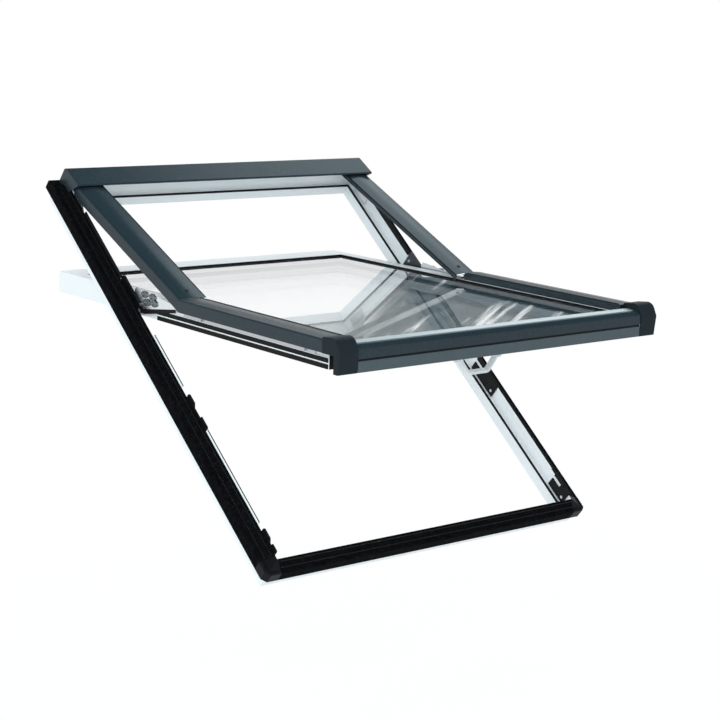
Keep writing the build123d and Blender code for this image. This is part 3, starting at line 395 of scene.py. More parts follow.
BRIGHT_METAL = Finish(
    "bright_metal",
    (0.82, 0.85, 0.87),
    (0.70, 0.74, 0.77),
    0.22,
    metallic=1.0,
    line_scale=420.0,
    line_depth=0.00002,
)
# Bright metal for the strip on the fascia's nosing: a painted highlight along the nosing's top edge.
HIGHLIGHT_STRIP_METAL = Finish(
    "painted_highlight_metal",
    (0.62, 0.69, 0.71),
    (0.54, 0.60, 0.62),
    0.34,
    metallic=1.0,
    line_scale=420.0,
    line_depth=0.00002,
)
RUBBER = Finish(
    "rubber", (0.003, 0.003, 0.0034), (0.005, 0.005, 0.0055), 0.6, specular=0.15, grain_scale=500.0
)
BUTYL = Finish(
    "butyl", (0.018, 0.032, 0.037), (0.026, 0.043, 0.048), 0.55, specular=0.2, grain_scale=500.0
)
STEEL = Finish(
    "steel", (0.55, 0.57, 0.59), (0.46, 0.48, 0.51), 0.3, metallic=1.0, line_scale=500.0, line_depth=0.00003
)
SPACER = Finish("spacer_metal", (0.5, 0.52, 0.55), (0.42, 0.44, 0.47), 0.4, metallic=1.0)
HANDLE_WHITE = Finish("handle_white", (0.72, 0.75, 0.77), (0.65, 0.68, 0.71), 0.25, coat=0.3)
GLASS = PaneFinish("clear_glass", (0.985, 0.993, 0.994), 0.05, 2.6, 0.03)

Look = tuple[Finish, str]
WHITE_LOOK: Look = (WHITE_PLASTIC, "white_plastic")
BEAD_LOOK: Look = (BEAD_BLACK, "black_cover")
FITTING_LOOK: Look = (FITTING_BLACK, "black_plastic")
CAP_LOOK: Look = (BLACK_PLASTIC, "black_plastic")
FACING_PAINTED_LIGHT_LOOK: Look = (FASCIA_PAINTED_LIGHT, "anthracite")
RUBBER_LOOK: Look = (RUBBER, "black_rubber")
BUTYL_LOOK: Look = (BUTYL, "black_rubber")
BRIGHT_LOOK: Look = (BRIGHT_METAL, "steel")
HIGHLIGHT_STRIP_LOOK: Look = (HIGHLIGHT_STRIP_METAL, "steel")
BOSS_LOOK: Look = (BOSS_STEEL, "steel")


class Dresser:
    """Gives CAD nodes their finishes, one material for each finish and way of lying."""

    def __init__(self, nodes: dict[str, bpy.types.Object]) -> None:
        """Keep the nodes by name."""
        self.nodes = nodes
        self.made: dict[tuple[str, Lie], bpy.types.Material] = {}

    def material(self, finish: Finish | PaneFinish, lie: Lie) -> bpy.types.Material:
        """Material of a finish, made once for each way of lying."""
        key = (finish.name, lie)
        if key not in self.made:
            self.made[key] = finish.material(lie)
        return self.made[key]

    def dress(self, names: Iterable[str], finish: Finish | PaneFinish, lie: Lie) -> None:
        """Put one finish on CAD nodes.

        Args:
            names: names of the nodes.
            finish: finish that they get.
            lie: way that they lie.
        """
        for name in names:
            mesh = self.nodes[name].data
            mesh.materials.clear()
            mesh.materials.append(self.material(finish, lie))
            LOG.info("dressed %s in %s", name, finish.name)


def sides(*stems: str) -> list[str]:
    """Left and right names of paired nodes."""
    return [f"{stem}_{side}" for stem in stems for side in ("left", "right")]


@dataclass
class FrameSet:
    """Frame on the roof: plastic ring, covers, hood, hinge leaves, keepers and guides."""

    plastic: tuple[str, ...] = (
        "frame_left_stile",
        "frame_right_stile",
        "frame_top_rail",
        "frame_bottom_rail",
    )
    covers: tuple[str, ...] = ("cover_left", "cover_right", "cover_top", "cover_bottom")

    def dress(self, dresser: Dresser) -> None:
        """Give each frame node its finish."""
        dresser.dress(self.plastic, WHITE_PLASTIC, Lie.FRAME)
        dresser.dress(self.covers, BLACK_COVER, Lie.FRAME)
        dresser.dress(["hood", *sides("hood_cap")], ANTHRACITE, Lie.FRAME)
        dresser.dress(sides("corner_piece", "upper_keeper", "lower_keeper"), FITTING_BLACK, Lie.FRAME)
        dresser.dress(["frame_seal"], RUBBER, Lie.FRAME)
        dresser.dress(sides("hinge_frame_leaf"), DARK_STEEL, Lie.FRAME)
        dresser.dress([*sides("arm_guide_bracket"), "hinge_pins", "frame_screws"], STEEL, Lie.FRAME)


@dataclass
class SashSet:
    """Swinging sash: plastic frame, glass unit, beads, claddings, fascia, locking bars and handle."""

    plastic: tuple[str, ...] = (
        *sides("sash_stile", "glazing_bead"),
        "sash_top_rail",
        "sash_bottom_rail",
        "glazing_bead_top",
    )

    def dress(self, dresser: Dresser) -> None:
        """Give each sash node its finish."""
        dresser.dress(self.plastic, WHITE_PLASTIC, Lie.SASH)
        dresser.dress(["outer_pane", "inner_pane"], GLASS, Lie.SASH)
        dresser.dress(["glass_spacer"], SPACER, Lie.SASH)
        dresser.dress(["glazing_gasket", "sash_seals", "fascia_seal"], RUBBER, Lie.SASH)
        dresser.dress([*sides("sash_cladding"), "fascia_upper"], ANTHRACITE, Lie.SASH)
        # The fascia's lower face takes the lighter anthracite, which is painted light.
        dresser.dress(["fascia_lower"], FASCIA_PAINTED_LIGHT, Lie.SASH)
        dresser.dress(sides("fascia_cap"), BLACK_PLASTIC, Lie.SASH)
        dresser.dress([*sides("hinge_sash_leaf", "locking_bar"), "hinge_bosses"], STEEL, Lie.SASH)
        dresser.dress(sides("arm_pivot_bracket"), DARK_STEEL, Lie.SASH)
        dresser.dress(["handle_base", "handle_bow"], HANDLE_WHITE, Lie.SASH)


@dataclass
class ArmSet:
    """Cover arms that lift with the sash, with the strip and rivet inside each."""

    painted: tuple[str, ...] = tuple(sides("arm_cover", "arm_rivet"))

    def dress(self, dresser: Dresser) -> None:
        """Give each arm node its finish."""
        dresser.dress(self.painted, ANTHRACITE, Lie.ARM)
        dresser.dress(sides("arm_strip"), STEEL, Lie.ARM)


class Carrier(Enum):
    """Body that carries an added piece."""

    FRAME = "frame"
    SASH = "sash"
    ARM = "arm"


class Side(Enum):
    """Side of the window, with the sign of x there."""

    RIGHT = 1.0
    LEFT = -1.0


@dataclass(frozen=True)
class Stance:
    """Turns drawn places into places in the open window.

    Drawn places are in millimetres with the sash shut: x across, y up the slope, z out of the frame's face.
    """

    slope: float = 41.7
    seat: float = 23.0443
    depth: float = 68.0
    opening: float = 38.6
    lift: float = 14.0879
    pivot: Pair = (775.0, -11.0)
    pin: Pair = (575.0, 21.0)

    def turned(
        self, drawn: np.ndarray, angle: float, about: Sequence[float], to: Sequence[float]
    ) -> np.ndarray:
        """Turn points in the plane of y and z.

        With a = y - y0 and b = z - z0, the new y is y1 + a cos + b sin and the new z is z1 - a sin + b cos.

        Args:
            drawn: points, with x, y and z along the last axis.
            angle: turn in degrees.
            about: y0 and z0, the centre before the turn.
            to: y1 and z1, the centre after it.

        Returns:
            The turned points.
        """
        turn = math.radians(angle)
        a, b = drawn[..., 1] - about[0], drawn[..., 2] - about[1]
        y = to[0] + a * math.cos(turn) + b * math.sin(turn)
        z = to[1] - a * math.sin(turn) + b * math.cos(turn)
        return np.stack([drawn[..., 0], y, z], -1)

    def placed(self, drawn: np.ndarray, carrier: Carrier) -> np.ndarray:
        """Places in the shared frame, in metres, of points on one body of the open window.

        Args:
            drawn: points in millimetres, drawn shut.
            carrier: body that carries them.

        Returns:
            The points in metres.
        """
        if carrier is Carrier.SASH:
            drawn = self.turned(drawn, self.opening, self.pivot, self.pivot)
        if carrier is Carrier.ARM:
            lifted = self.turned(np.array([0.0, *self.pin]), self.opening, self.pivot, self.pivot)
            drawn = self.turned(drawn, self.lift, self.pin, lifted[1:])
        moved = drawn - np.array([0.0, self.seat, -self.depth])
        return self.turned(moved, -self.slope, (0.0, 0.0), (0.0, 0.0)) / MM_PER_M


def along_slope(profile: np.ndarray, places: Sequence[float]) -> np.ndarray:
    """Rings of an (x, z) profile carried up the slope: point j of ring i is (x_j, y_i, z_j)."""
    shape = (len(places), len(profile))
    x = np.broadcast_to(profile[:, 0], shape)
    y = np.broadcast_to(np.array(places)[:, None], shape)
    z = np.broadcast_to(profile[:, 1], shape)
    return np.stack([x, y, z], -1)


def along_width(profile: np.ndarray, places: Sequence[float]) -> np.ndarray:
    """Rings of a (y, z) profile carried across the window: point j of ring i is (x_i, y_j, z_j)."""
    shape = (len(places), len(profile))
    x = np.broadcast_to(np.array(places)[:, None], shape)
    y = np.broadcast_to(profile[:, 0], shape)
    z = np.broadcast_to(profile[:, 1], shape)
    return np.stack([x, y, z], -1)


def bead(first: float, second: float, radius: float, points: int = 12) -> np.ndarray:
    """Round profile: centre plus radius times (cos t, sin t), t all the way round."""
    t = np.linspace(0.0, 2.0 * math.pi, points, endpoint=False)
    return np.stack([first + radius * np.cos(t), second + radius * np.sin(t)], -1)


def crowned(
    x: np.ndarray, ends: Sequence[float], levels: Sequence[float], blend: float = 14.0
) -> np.ndarray:
    """Level of a crowned sheet across its width.

    Two straight slopes meet over the middle, and within the blend of it the slope changes evenly, which is
    a parabola that touches both.

    Args:
        x: places across.
        ends: inner and outer end of the sheet.
        levels: level at the inner end, at the meeting point and at the outer end.
        blend: half the length of the parabola.

    Returns:
        The level at each place.
    """
    middle = (ends[0] + ends[1]) / 2
    half = (ends[1] - ends[0]) / 2
    rise, fall = (levels[1] - levels[0]) / half, (levels[1] - levels[2]) / half
    d = np.clip(x - middle + blend, 0.0, 2 * blend)
    past = np.clip(x - middle - blend, 0.0, None)
    before = np.clip(middle - blend - x, 0.0, None)
    start = levels[1] - rise * blend
    return start - rise * before + rise * d - (rise + fall) * d ** 2 / (4 * blend) - fall * past


@dataclass
class Maker:
    """Builds added pieces from rings of points and seats them on their bodies."""

    dresser: Dresser
    stance: Stance = field(default_factory=Stance)

    def loft(self, name: str, rings: np.ndarray) -> bpy.types.Mesh:
        """Skin rings of points and close both ends with flat faces.

        Vertex i n + j is point j of ring i. Each side face joins it to its neighbours on that ring and
        on the next.

        Args:
            name: mesh's name.
            rings: points in metres, ring by ring.

        Returns:
            A closed mesh with its faces outwards.
        """
        count, around, _ = rings.shape
        index = np.arange(count * around).reshape(count, around)
        near, far = index[:-1], index[1:]
        quads = np.stack([near, np.roll(near, -1, 1), np.roll(far, -1, 1), far], -1).reshape(-1, 4)
        faces = [*quads.tolist(), index[0, ::-1].tolist(), index[-1].tolist()]
        mesh = bpy.data.meshes.new(name)
        mesh.from_pydata(rings.reshape(-1, 3).tolist(), [], faces)
        shell = bmesh.new()
        shell.from_mesh(mesh)
        bmesh.ops.recalc_face_normals(shell, faces=shell.faces)
        shell.to_mesh(mesh)
        shell.free()
        return mesh

    def piece(
        self,
        name: str,
        rings: np.ndarray,
        carrier: Carrier,
        look: Look,
        side: Side = Side.RIGHT,
        edge: float = 0.0,
    ) -> None:
        """Add one piece.

        Args:
            name: piece's name.
            rings: points drawn for the right side, in millimetres.
            carrier: body that carries it.
            look: finish, and a slot name, which is not used.
            side: side that it is made for; a piece across the whole width is drawn as for the right.
            edge: width in millimetres of the rounded edges, or zero for none.
        """
        finish, slot = look
        placed = self.stance.placed(rings * np.array([side.value, 1.0, 1.0]), carrier)
        mesh = self.loft(name, placed)
        mesh.materials.append(self.dresser.material(finish, Lie[carrier.name]))
        made = bpy.data.objects.new(name, mesh)
        bpy.context.scene.collection.objects.link(made)
        if edge:
            rounding = made.modifiers.new("edges", "BEVEL")
            rounding.width = edge / MM_PER_M
            rounding.segments = EDGE_SEGMENTS
        body = f"arm_{side.name.lower()}" if carrier is Carrier.ARM else carrier.value
        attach(made, body)
        LOG.info("added %s on %s", name, body)

    def pair(
        self, name: str, rings: np.ndarray, carrier: Carrier, look: Look, edge: float = 0.0
    ) -> None:
        """Add a piece on the right and its mirror image on the left."""
        for side in Side:
            self.piece(f"{name}_{side.name.lower()}", rings, carrier, look, side, edge)


@dataclass
class FrameTrim:
    """Thin trim of the frame: beads pressed into the covers, and the lip round the opening."""

    half_width: float = 470.0
    bead_places: tuple[float, ...] = (15.0, 28.5)
    bead_radius: float = 0.9
    cover_ridge: Pair = (11.0, -12.0)
    cover_inner: float = 35.0
    bottom_inner: float = 28.5
    stile_run: Pair = (40.0, 1140.0)
    bottom_run: Pair = (-430.0, 430.0)
    lip_runs: dict[str, Pair] = field(
        default_factory=lambda: {"low": (122.0, 378.0), "middle": (506.0, 658.0), "high": (842.0, 1052.0)}
    )
    # The high lip gets the black fitting finish in place of white plastic: painted shade where the sash and
    # hood shade the lip.
    painted_shade_lip: str = "high"
    lip_wall: float = 435.0
    lip_inner: float = 431.0
    lip_foot: float = -2.0
    lip_shoulder: float = 0.2
    lip_bevel: Pair = (1.4, 0.4)
    lip_crest: float = 2.4
    lip_top: float = 4.4
    lip_seal: float = 1.2

    def level(self, inwards: float) -> float:
        """Level of the cover's slope at a distance in from the frame's edge."""
        share = (inwards - self.cover_ridge[0]) / (self.cover_inner - self.cover_ridge[0])
        return self.cover_ridge[1] * (1.0 - share)

    def lip(self) -> np.ndarray:
        """Profile of the lip as (x, z) points.

        Returns:
            An upright wall, a bevelled shoulder, a flat crest and the inner face, in that order.
        """
        wall, inner, top = self.lip_wall, self.lip_inner, self.lip_top
        across, down = self.lip_bevel
        return np.array(
            [
                (wall, self.lip_foot),
                (wall, self.lip_shoulder),
                (wall - across, top - down),
                (wall - self.lip_crest, top),
                (inner, top),
                (inner, self.lip_foot),
            ]
        )

    def beads(self, maker: Maker) -> None:
        """Add two beads along each side cover and two along the bottom cover."""
        scale = self.bottom_inner / self.cover_inner
        for number, inwards in enumerate(self.bead_places, 1):
            level = self.level(inwards)
            upright = bead(self.half_width - inwards, level, self.bead_radius)
            rings = along_slope(upright, self.stile_run)
            maker.pair(f"cover_bead_{number}", rings, Carrier.FRAME, BEAD_LOOK)
            lying = bead(inwards * scale, level, self.bead_radius)
            rings = along_width(lying, self.bottom_run)
            maker.piece(f"cover_bead_{number}_bottom", rings, Carrier.FRAME, BEAD_LOOK)

    def lips(self, maker: Maker) -> None:
        """Add the lips between the fittings, each with a seal on its crest; the high lip is black, which is
        painted shade.
        """
        profile = self.lip()
        seal = bead(self.lip_inner + self.lip_seal, self.lip_top, self.lip_seal)
        for name, run in self.lip_runs.items():
            look = FITTING_LOOK if name == self.painted_shade_lip else WHITE_LOOK
            maker.pair(f"lip_{name}", along_slope(profile, run), Carrier.FRAME, look)
            maker.pair(f"lip_seal_{name}", along_slope(seal, run), Carrier.FRAME, RUBBER_LOOK)

    def build(self, maker: Maker) -> None:
        """Add the beads and the lips."""
        self.beads(maker)
        self.lips(maker)


@dataclass
class HingeTrim:
    """Bright plate on the sash at each hinge, its dark foot, and the round bosses on it."""

    plate: Points = (
        (764.0, -20.0),
        (764.0, 20.0),
        (757.0, 27.0),
        (744.0, 26.0),
        (612.0, 9.5),
        (597.0, 5.0),
        (597.0, -2.0),
        (722.0, -20.0),
    )
    foot: Points = (
        (722.0, -20.0),
        (597.0, -2.0),
        (593.0, -2.5),
        (593.0, -9.0),
        (720.0, -31.0),
        (740.0, -31.0),
        (740.0, -20.0),
    )
    across: Pair = (429.85, 430.75)
    edge: float = 0.3
    boss_places: Points = ((719.0, 15.0), (686.0, 13.0), (709.0, -2.0), (679.0, -1.0))
    boss_radius: float = 8.2
    boss_stretch: float = 1.7
    boss_height: float = 3.3
    boss_sink: float = 0.1
    boss_points: int = 32
    boss_steps: Points = (
        (1.0, 0.0),
        (1.0, 0.6),
        (0.92, 0.88),
        (0.8, 1.0),
        (0.56, 1.0),
        (0.48, 0.5),
        (0.2, 0.44),
    )

    def boss(self, place: Pair) -> np.ndarray:
        """Round boss with a sunk middle.

        Each step is a ring: the radius times the step's share, stretched up the slope, at the step's share
        of the height.

        Args:
            place: y and z of its middle.

        Returns:
            Rings from the base to the floor of the sunk middle.
        """
        t = np.linspace(0.0, 2.0 * math.pi, self.boss_points, endpoint=False)[None, :]
        share, rise = np.array(self.boss_steps).T[:, :, None]
        y = place[0] + self.boss_stretch * self.boss_radius * share * np.cos(t)
        z = place[1] + self.boss_radius * share * np.sin(t)
        x = np.broadcast_to(self.across[1] - self.boss_sink + self.boss_height * rise, y.shape)
        return np.stack([x, y, z], -1)

    def build(self, maker: Maker) -> None:
        """Add the plates, feet and bosses."""
        plate = along_width(np.array(self.plate), self.across)
        maker.pair("hinge_plate", plate, Carrier.SASH, BRIGHT_LOOK, self.edge)
        foot = along_width(np.array(self.foot), self.across)
        maker.pair("hinge_foot", foot, Carrier.SASH, FITTING_LOOK, self.edge)
        for number, place in enumerate(self.boss_places, 1):
            maker.pair(f"hinge_boss_{number}", self.boss(place), Carrier.SASH, BOSS_LOOK)


@dataclass
class SashTrim:
    """Thin trim of the sash: on the fascia and its caps, round the glass, and on the side claddings."""

    fascia_run: Pair = (-403.0, 403.0)
    # Bright strip over the nosing's top: a painted highlight along its rear edge, not a part of the window.
    nosing_strip: Points = (
        (-9.0, 21.3),
        (16.6, 19.8),
        (16.6, 22.4),
        (14.0, 23.6),
        (9.0, 23.6),
        (-8.4, 22.5),
    )
    facing: Points = (
        (-22.0, -35.6),
        (-24.6, -35.6),
        (-25.3, -34.6),
        (-25.4, -13.6),
        (-24.8, -12.6),
        (-23.4, -12.4),
        (-23.4, -19.0),
        (-22.0, -19.0),
    )
    facing_edge: float = 0.3
    web_across: Pair = (405.3, 406.8)
    web_centre: Pair = (-1.28, 14.29)
    web_radius: float = 21.0
    web_turn: Pair = (83.3, 155.0)
    web_points: int = 14
    web_back: Pair = (27.6, 32.0)
    web_nose: Pair = (-27.4, 8.0)
    web_toe: float = 1.6
    web_foot: float = 0.8
    pad_across: Pair = (405.5, 429.4)
    pad_front: Pair = (33.2, 34.0)
    pad_levels: Pair = (-36.5, 3.5)
    pad_edge: float = 0.2
    butyl_levels: Pair = (-12.0, -6.5)
    butyl_face: Pair = (390.2, 1048.2)
    butyl_skin: float = 0.7
    butyl_low: float = 110.0
    top_bead: Pair = (1116.0, 7.6)
    top_bead_radius: float = 1.6
    top_bead_run: Pair = (-420.0, 420.0)
    end_plate: Points = (
        (448.6, 6.5),
        (448.6, 26.4),
        (445.0, 27.0),
        (421.5, 28.6),
        (395.0, 27.0),
        (394.4, 26.0),
        (394.4, 13.6),
        (405.6, 13.6),
        (405.6, 8.4),
        (424.0, 8.4),
        (424.0, 6.5),
    )
    end_places: Pair = (551.4, 553.4)
    rib_place: Pair = (395.6, 29.9)
    rib_run: Pair = (34.0, 548.0)
    rib_pitch: float = 9.0
    rib_steps: int = 6
    rib_radius: float = 1.0
    rib_depth: float = 0.45
    rib_points: int = 8

    def web(self) -> np.ndarray:
        """Outline of the web in a fascia cap as (y, z) points.

        Returns:
            Its back, its crown, which is an arc of centre plus radius times (cos t, sin t), and its nose,
            toe and foot.
        """
        t = np.radians(np.linspace(*self.web_turn, self.web_points))
        arc = self.web_radius * np.stack([np.cos(t), np.sin(t)], -1)
        crown = np.array(self.web_centre) + arc
        nose, foot = self.web_nose, self.web_foot
        toe = (nose[0] + self.web_toe, foot)
        return np.array([self.web_back, *crown.tolist(), nose, toe, (self.web_back[0], foot)])

    def ribbed(self) -> np.ndarray:
        """Ribbed seal: a round bead whose radius grows by the rib depth over half of each pitch.

        Returns:
            Rings up the slope, radius r + d where sin(2 pi y / pitch) is above zero, and r elsewhere.
        """
        y = np.arange(*self.rib_run, self.rib_pitch / self.rib_steps)
        radius = self.rib_radius + self.rib_depth * (np.sin(2.0 * math.pi * y / self.rib_pitch) > 0.0)
        unit = bead(0.0, 0.0, 1.0, self.rib_points)
        x = self.rib_place[0] + radius[:, None] * unit[None, :, 0]
        z = self.rib_place[1] + radius[:, None] * unit[None, :, 1]
        return np.stack([x, np.broadcast_to(y[:, None], x.shape), z], -1)

    def fascia(self, maker: Maker) -> None:
        """Add the nosing's bright strip, which is a painted highlight, the fascia's facing in lighter
        anthracite, which is painted light, the webs in the caps and the corner pads.
        """
        strip = along_width(np.array(self.nosing_strip), self.fascia_run)
        maker.piece("nosing_strip", strip, Carrier.SASH, HIGHLIGHT_STRIP_LOOK)
        facing = along_width(np.array(self.facing), self.fascia_run)
        # The facing takes the same lighter anthracite, which is painted light.
        maker.piece("fascia_facing", facing, Carrier.SASH, FACING_PAINTED_LIGHT_LOOK, edge=self.facing_edge)
        web = along_width(self.web(), self.web_across)
        maker.pair("cap_web", web, Carrier.SASH, CAP_LOOK)
        (front, back), (low, high) = self.pad_front, self.pad_levels
        pad = np.array([(front, low), (back, low), (back, high), (front, high)])
        pads = along_width(pad, self.pad_across)
        maker.pair("corner_pad", pads, Carrier.SASH, RUBBER_LOOK, self.pad_edge)

    def glazing(self, maker: Maker) -> None:
        """Add the butyl lines round the glass and the bead on the sash's top."""
        (low, high), (face, top) = self.butyl_levels, self.butyl_face
        line = np.array([(0.0, low), (self.butyl_skin, low), (self.butyl_skin, high), (0.0, high)])
        upper = along_width(line + np.array([top, 0.0]), (-face, face))
        maker.piece("butyl_top", upper, Carrier.SASH, BUTYL_LOOK)
        upright = along_slope(line + np.array([face, 0.0]), (self.butyl_low, top))
        maker.pair("butyl", upright, Carrier.SASH, BUTYL_LOOK)
        crest = along_width(bead(*self.top_bead, self.top_bead_radius), self.top_bead_run)
        maker.piece("top_bead", crest, Carrier.SASH, RUBBER_LOOK)

    def claddings(self, maker: Maker) -> None:
        """Add the end plate and the ribbed seal of each side cladding."""
        plate = along_slope(np.array(self.end_plate), self.end_places)
        maker.pair("cladding_end", plate, Carrier.SASH, FITTING_LOOK)
        maker.pair("cladding_seal", self.ribbed(), Carrier.SASH, RUBBER_LOOK)

    def build(self, maker: Maker) -> None:
        """Add the sash's trim."""
        self.fascia(maker)
        self.glazing(maker)
        self.claddings(maker)


@dataclass
class ArmTrim:
    """Thin trim of the arms: the seal along the inner edge and the bright rim at the low end."""

    ends: Pair = (369.5, 438.0)
    levels: tuple[float, float, float] = (31.0, 34.5, 30.0)
    seal_place: Pair = (370.3, 30.6)
    seal_radius: float = 1.3
    seal_run: Pair = (566.0, 1092.0)
    rim_places: Pair = (560.4, 563.0)
    rim_span: Pair = (371.5, 433.0)
    rim_skin: Pair = (-0.6, 0.5)
    rim_rings: int = 32

    def rim(self) -> np.ndarray:
        """Rim over the crowned end: an upright rectangle carried across, lifted to the crown's level.

        Returns:
            Rings across the arm.
        """
        x = np.linspace(*self.rim_span, self.rim_rings)
        level = crowned(x, self.ends, self.levels)[:, None]
        low, high = self.rim_places
        y = np.broadcast_to(np.array([low, high, high, low]), (len(x), 4))
        under, over = self.rim_skin
        z = level + np.array([under, under, over, over])[None, :]
        return np.stack([np.broadcast_to(x[:, None], y.shape), y, z], -1)

    def build(self, maker: Maker) -> None:
        """Add the seals and rims."""
        seal = along_slope(bead(*self.seal_place, self.seal_radius), self.seal_run)
        maker.pair("arm_seal", seal, Carrier.ARM, RUBBER_LOOK)
        maker.pair("arm_rim", self.rim(), Carrier.ARM, BRIGHT_LOOK)


@dataclass(frozen=True)
class Lamp:
    """Square soft lamp: its place and aim and its side in metres, and its power in watts."""

    name: str
    place: Sequence[float]
    aim: Sequence[float]
    size: float
    power: float

    def build(self, colour: Colour) -> None:
        """Add the lamp in a colour, turned to its aim."""
        data = bpy.data.lights.new(self.name, "AREA")
        data.size = self.size
        data.energy = self.power
        data.color = colour
        lamp = bpy.data.objects.new(self.name, data)
        lamp.location = self.place
        facing = np.array(self.aim, float) - np.array(self.place, float)
        lamp.rotation_euler = Vector(facing.tolist()).to_track_quat("-Z", "Y").to_euler()
        bpy.context.scene.collection.objects.link(lamp)


@dataclass
class SlateCard:
    """Dark card behind the window, out of view, for the open pane to mirror."""

    way: float = 38.6
    away: float = 6.0
    span: Pair = (-0.25, 1.9)
    levels: Pair = (1.47, 2.1)
    middle: float = 1.6
    edge_lean: float = 0.5
    edge_span: Pair = (0.02, 0.2)
    streak_lean: Pair = (0.7, 0.75)
    streak_stretch: Pair = (9.0, 1.2)
    streak_scale: float = 1.6
    streak_detail: float = 3.0
    streak_span: Pair = (0.57, 0.68)
    streak_colour: Colour = (0.95, 0.98, 1.0)
    cloud_scale: float = 4.0
    cloud_detail: float = 4.0
    dark: Colour = (0.004, 0.010, 0.013)
    pale: Colour = (0.085, 0.14, 0.165)

    def material(self) -> bpy.types.Material:
        """Cloudy slate with pale slanting streaks, which fades to white at its left edge."""
        made, shader = new_material("slate")
        place = shader.node("ShaderNodeTexCoord").outputs["Object"]
        turned = shader.node(
            "ShaderNodeMapping",
            {"vector_type": "POINT"},
            {"Vector": place, "Rotation": (0.0, 0.0, math.radians(self.way))},
        )
        parts = shader.node("ShaderNodeSeparateXYZ", None, {0: turned.outputs["Vector"]})
        across, level = shader.value(parts, "X"), shader.value(parts, "Z")
        inside = shader.eased(across + (level - self.middle) * self.edge_lean, self.edge_span)
        more, less = self.streak_stretch
        flat, steep = self.streak_lean
        slant = (across * flat + (level - self.middle) * steep) * more
        along = (level * flat - across * steep) * less
        joined = shader.node("ShaderNodeCombineXYZ", None, {0: slant, 1: along, 2: 0.0})
        streak = shader.noise(joined.outputs[0], self.streak_scale, self.streak_detail)
        cloud = shader.noise(place, self.cloud_scale, self.cloud_detail)
        slate = shader.blend(rgba(self.dark), rgba(self.pale), cloud)
        marked = shader.blend(slate, rgba(self.streak_colour), shader.eased(streak, self.streak_span))
        colour = shader.blend(rgba(WHITE), marked, inside)
        shader.close(shader.node("ShaderNodeEmission", None, {"Color": colour, "Strength": 1.0}))
        return made

    def build(self) -> None:
        """Hang the card.

        It is flat: a point is the middle ray at its distance, plus sideways times u, plus up times v.
        """
        way = math.radians(self.way)
        ahead = np.array([math.sin(way), math.cos(way), 0.0])
        right = np.array([math.cos(way), -math.sin(way), 0.0])
        up = np.array([0.0, 0.0, 1.0])
        (left_end, right_end), (low, high) = self.span, self.levels
        u = np.array([left_end, right_end, right_end, left_end])[:, None]
        v = np.array([low, low, high, high])[:, None]
        corners = ahead * self.away + right * u + up * v
        mesh = bpy.data.meshes.new("slate_card")
        mesh.from_pydata(corners.tolist(), [], [(0, 1, 2, 3)])
        mesh.materials.append(self.material())
        hung = bpy.data.objects.new("slate_card", mesh)
        bpy.context.scene.collection.objects.link(hung)
        hung.visible_camera = False
        hung.visible_diffuse = False
        hung.visible_shadow = False


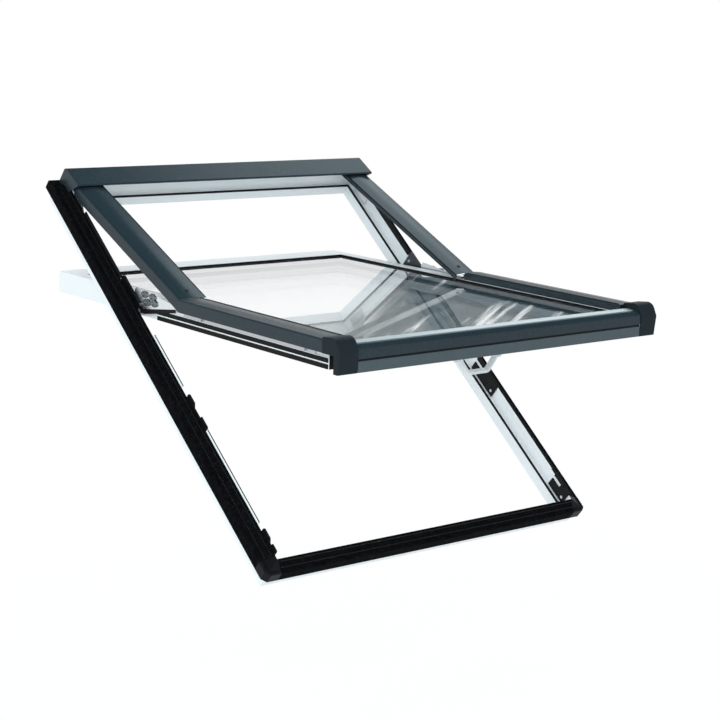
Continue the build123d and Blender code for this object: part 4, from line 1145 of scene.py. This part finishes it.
@dataclass
class Studio:
    """Pale floor, soft lamps, white surround and the camera."""

    floor_level: float = -0.30
    floor_half: float = 9.0
    floor_colour: Colour = (0.9, 0.9, 0.9)
    shadow_span: Pair = (0.7, 1.9)
    glow_levels: Pair = (0.9, 1.0)
    ceiling: Colour = (0.10, 0.21, 0.26)
    ceiling_span: Pair = (0.3, 0.62)
    soft_colour: Colour = (0.95, 0.985, 1.0)
    soft_strength: float = 0.95
    lamp_colour: Colour = (0.86, 0.96, 1.0)
    lamps: tuple[Lamp, ...] = (
        Lamp("key", (2.6, 1.6, 3.2), (0.0, 0.4, 0.4), 1.8, 22.0),
        Lamp("fill", (-3.2, -2.4, 2.2), (0.0, 0.3, 0.4), 2.6, 80.0),
    )
    lens: float = 90.418
    sensor: float = 36.0
    clip: Pair = (0.05, 60.0)
    camera_place: tuple[float, float, float] = (-2.59161, -3.02624, 1.05055)
    camera_turn: tuple[float, float, float] = (81.1236, 0.1061, -38.5765)

    def camera(self) -> None:
        """Add the camera at the photograph's viewing angle."""
        data = bpy.data.cameras.new("view")
        data.lens = self.lens
        data.sensor_width = self.sensor
        data.clip_start, data.clip_end = self.clip
        eye = bpy.data.objects.new("view", data)
        eye.location = self.camera_place
        eye.rotation_euler = Euler([math.radians(a) for a in self.camera_turn], "XYZ")
        bpy.context.scene.collection.objects.link(eye)
        bpy.context.scene.camera = eye

    def floor_material(self) -> bpy.types.Material:
        """Pale floor that is bright to the camera and to mirrors, and a little darker in shadow."""
        made, shader = new_material("floor_pale")
        place = shader.node("ShaderNodeTexCoord").outputs["Object"]
        away = shader.node("ShaderNodeVectorMath", {"operation": "LENGTH"}, {0: place})
        fade = shader.eased(away.outputs["Value"], self.shadow_span, self.glow_levels)
        matt = shader.node("ShaderNodeBsdfDiffuse", None, {"Color": rgba(self.floor_colour)})
        glow = shader.node("ShaderNodeEmission", None, {"Color": rgba(WHITE), "Strength": 1.0})
        shader.mix(shader.seen() * fade, matt, glow)
        return made

    def floor(self) -> None:
        """Add the floor."""
        half, level = self.floor_half, self.floor_level
        corners = [(-half, -half, level), (half, -half, level), (half, half, level), (-half, half, level)]
        mesh = bpy.data.meshes.new("floor")
        mesh.from_pydata(corners, [], [(0, 1, 2, 3)])
        mesh.materials.append(self.floor_material())
        ground = bpy.data.objects.new("floor", mesh)
        bpy.context.scene.collection.objects.link(ground)

    def surround(self) -> None:
        """Light the scene from a plain world, white to the camera, with a dark ceiling in mirrors."""
        world = bpy.data.worlds.new("surround")
        bpy.context.scene.world = world
        world.use_nodes = True
        shader = Shader(world.node_tree, "ShaderNodeOutputWorld")
        direction = shader.node("ShaderNodeTexCoord").outputs["Generated"]
        height = shader.node("ShaderNodeSeparateXYZ", None, {0: direction}).outputs["Z"]
        level = shader.eased(height, self.ceiling_span, (1.0, 0.0))
        straight = shader.value(shader.node("ShaderNodeLightPath"), "Is Camera Ray")
        colour = shader.blend(rgba(self.ceiling), rgba(WHITE), straight.larger(level))
        soft = shader.node(
            "ShaderNodeBackground", None, {"Color": rgba(self.soft_colour), "Strength": self.soft_strength}
        )
        white = shader.node("ShaderNodeBackground", None, {"Color": colour, "Strength": 1.0})
        shader.mix(shader.seen(), soft, white)

    def build(self) -> None:
        """Set up the whole studio."""
        bpy.context.scene.view_settings.view_transform = "Standard"
        self.camera()
        self.floor()
        SlateCard().build()
        self.surround()
        for lamp in self.lamps:
            lamp.build(self.lamp_colour)


def main() -> None:
    """Dress every sub-assembly, add the trim and set up the studio."""
    logging.basicConfig(level=logging.INFO, format="%(name)s: %(message)s")
    dresser = Dresser(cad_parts)
    for assembly in (FrameSet(), SashSet(), ArmSet()):
        assembly.dress(dresser)
    maker = Maker(dresser)
    for trim in (FrameTrim(), HingeTrim(), SashTrim(), ArmTrim()):
        trim.build(maker)
    Studio().build()


if __name__ == "__main__":
    main()
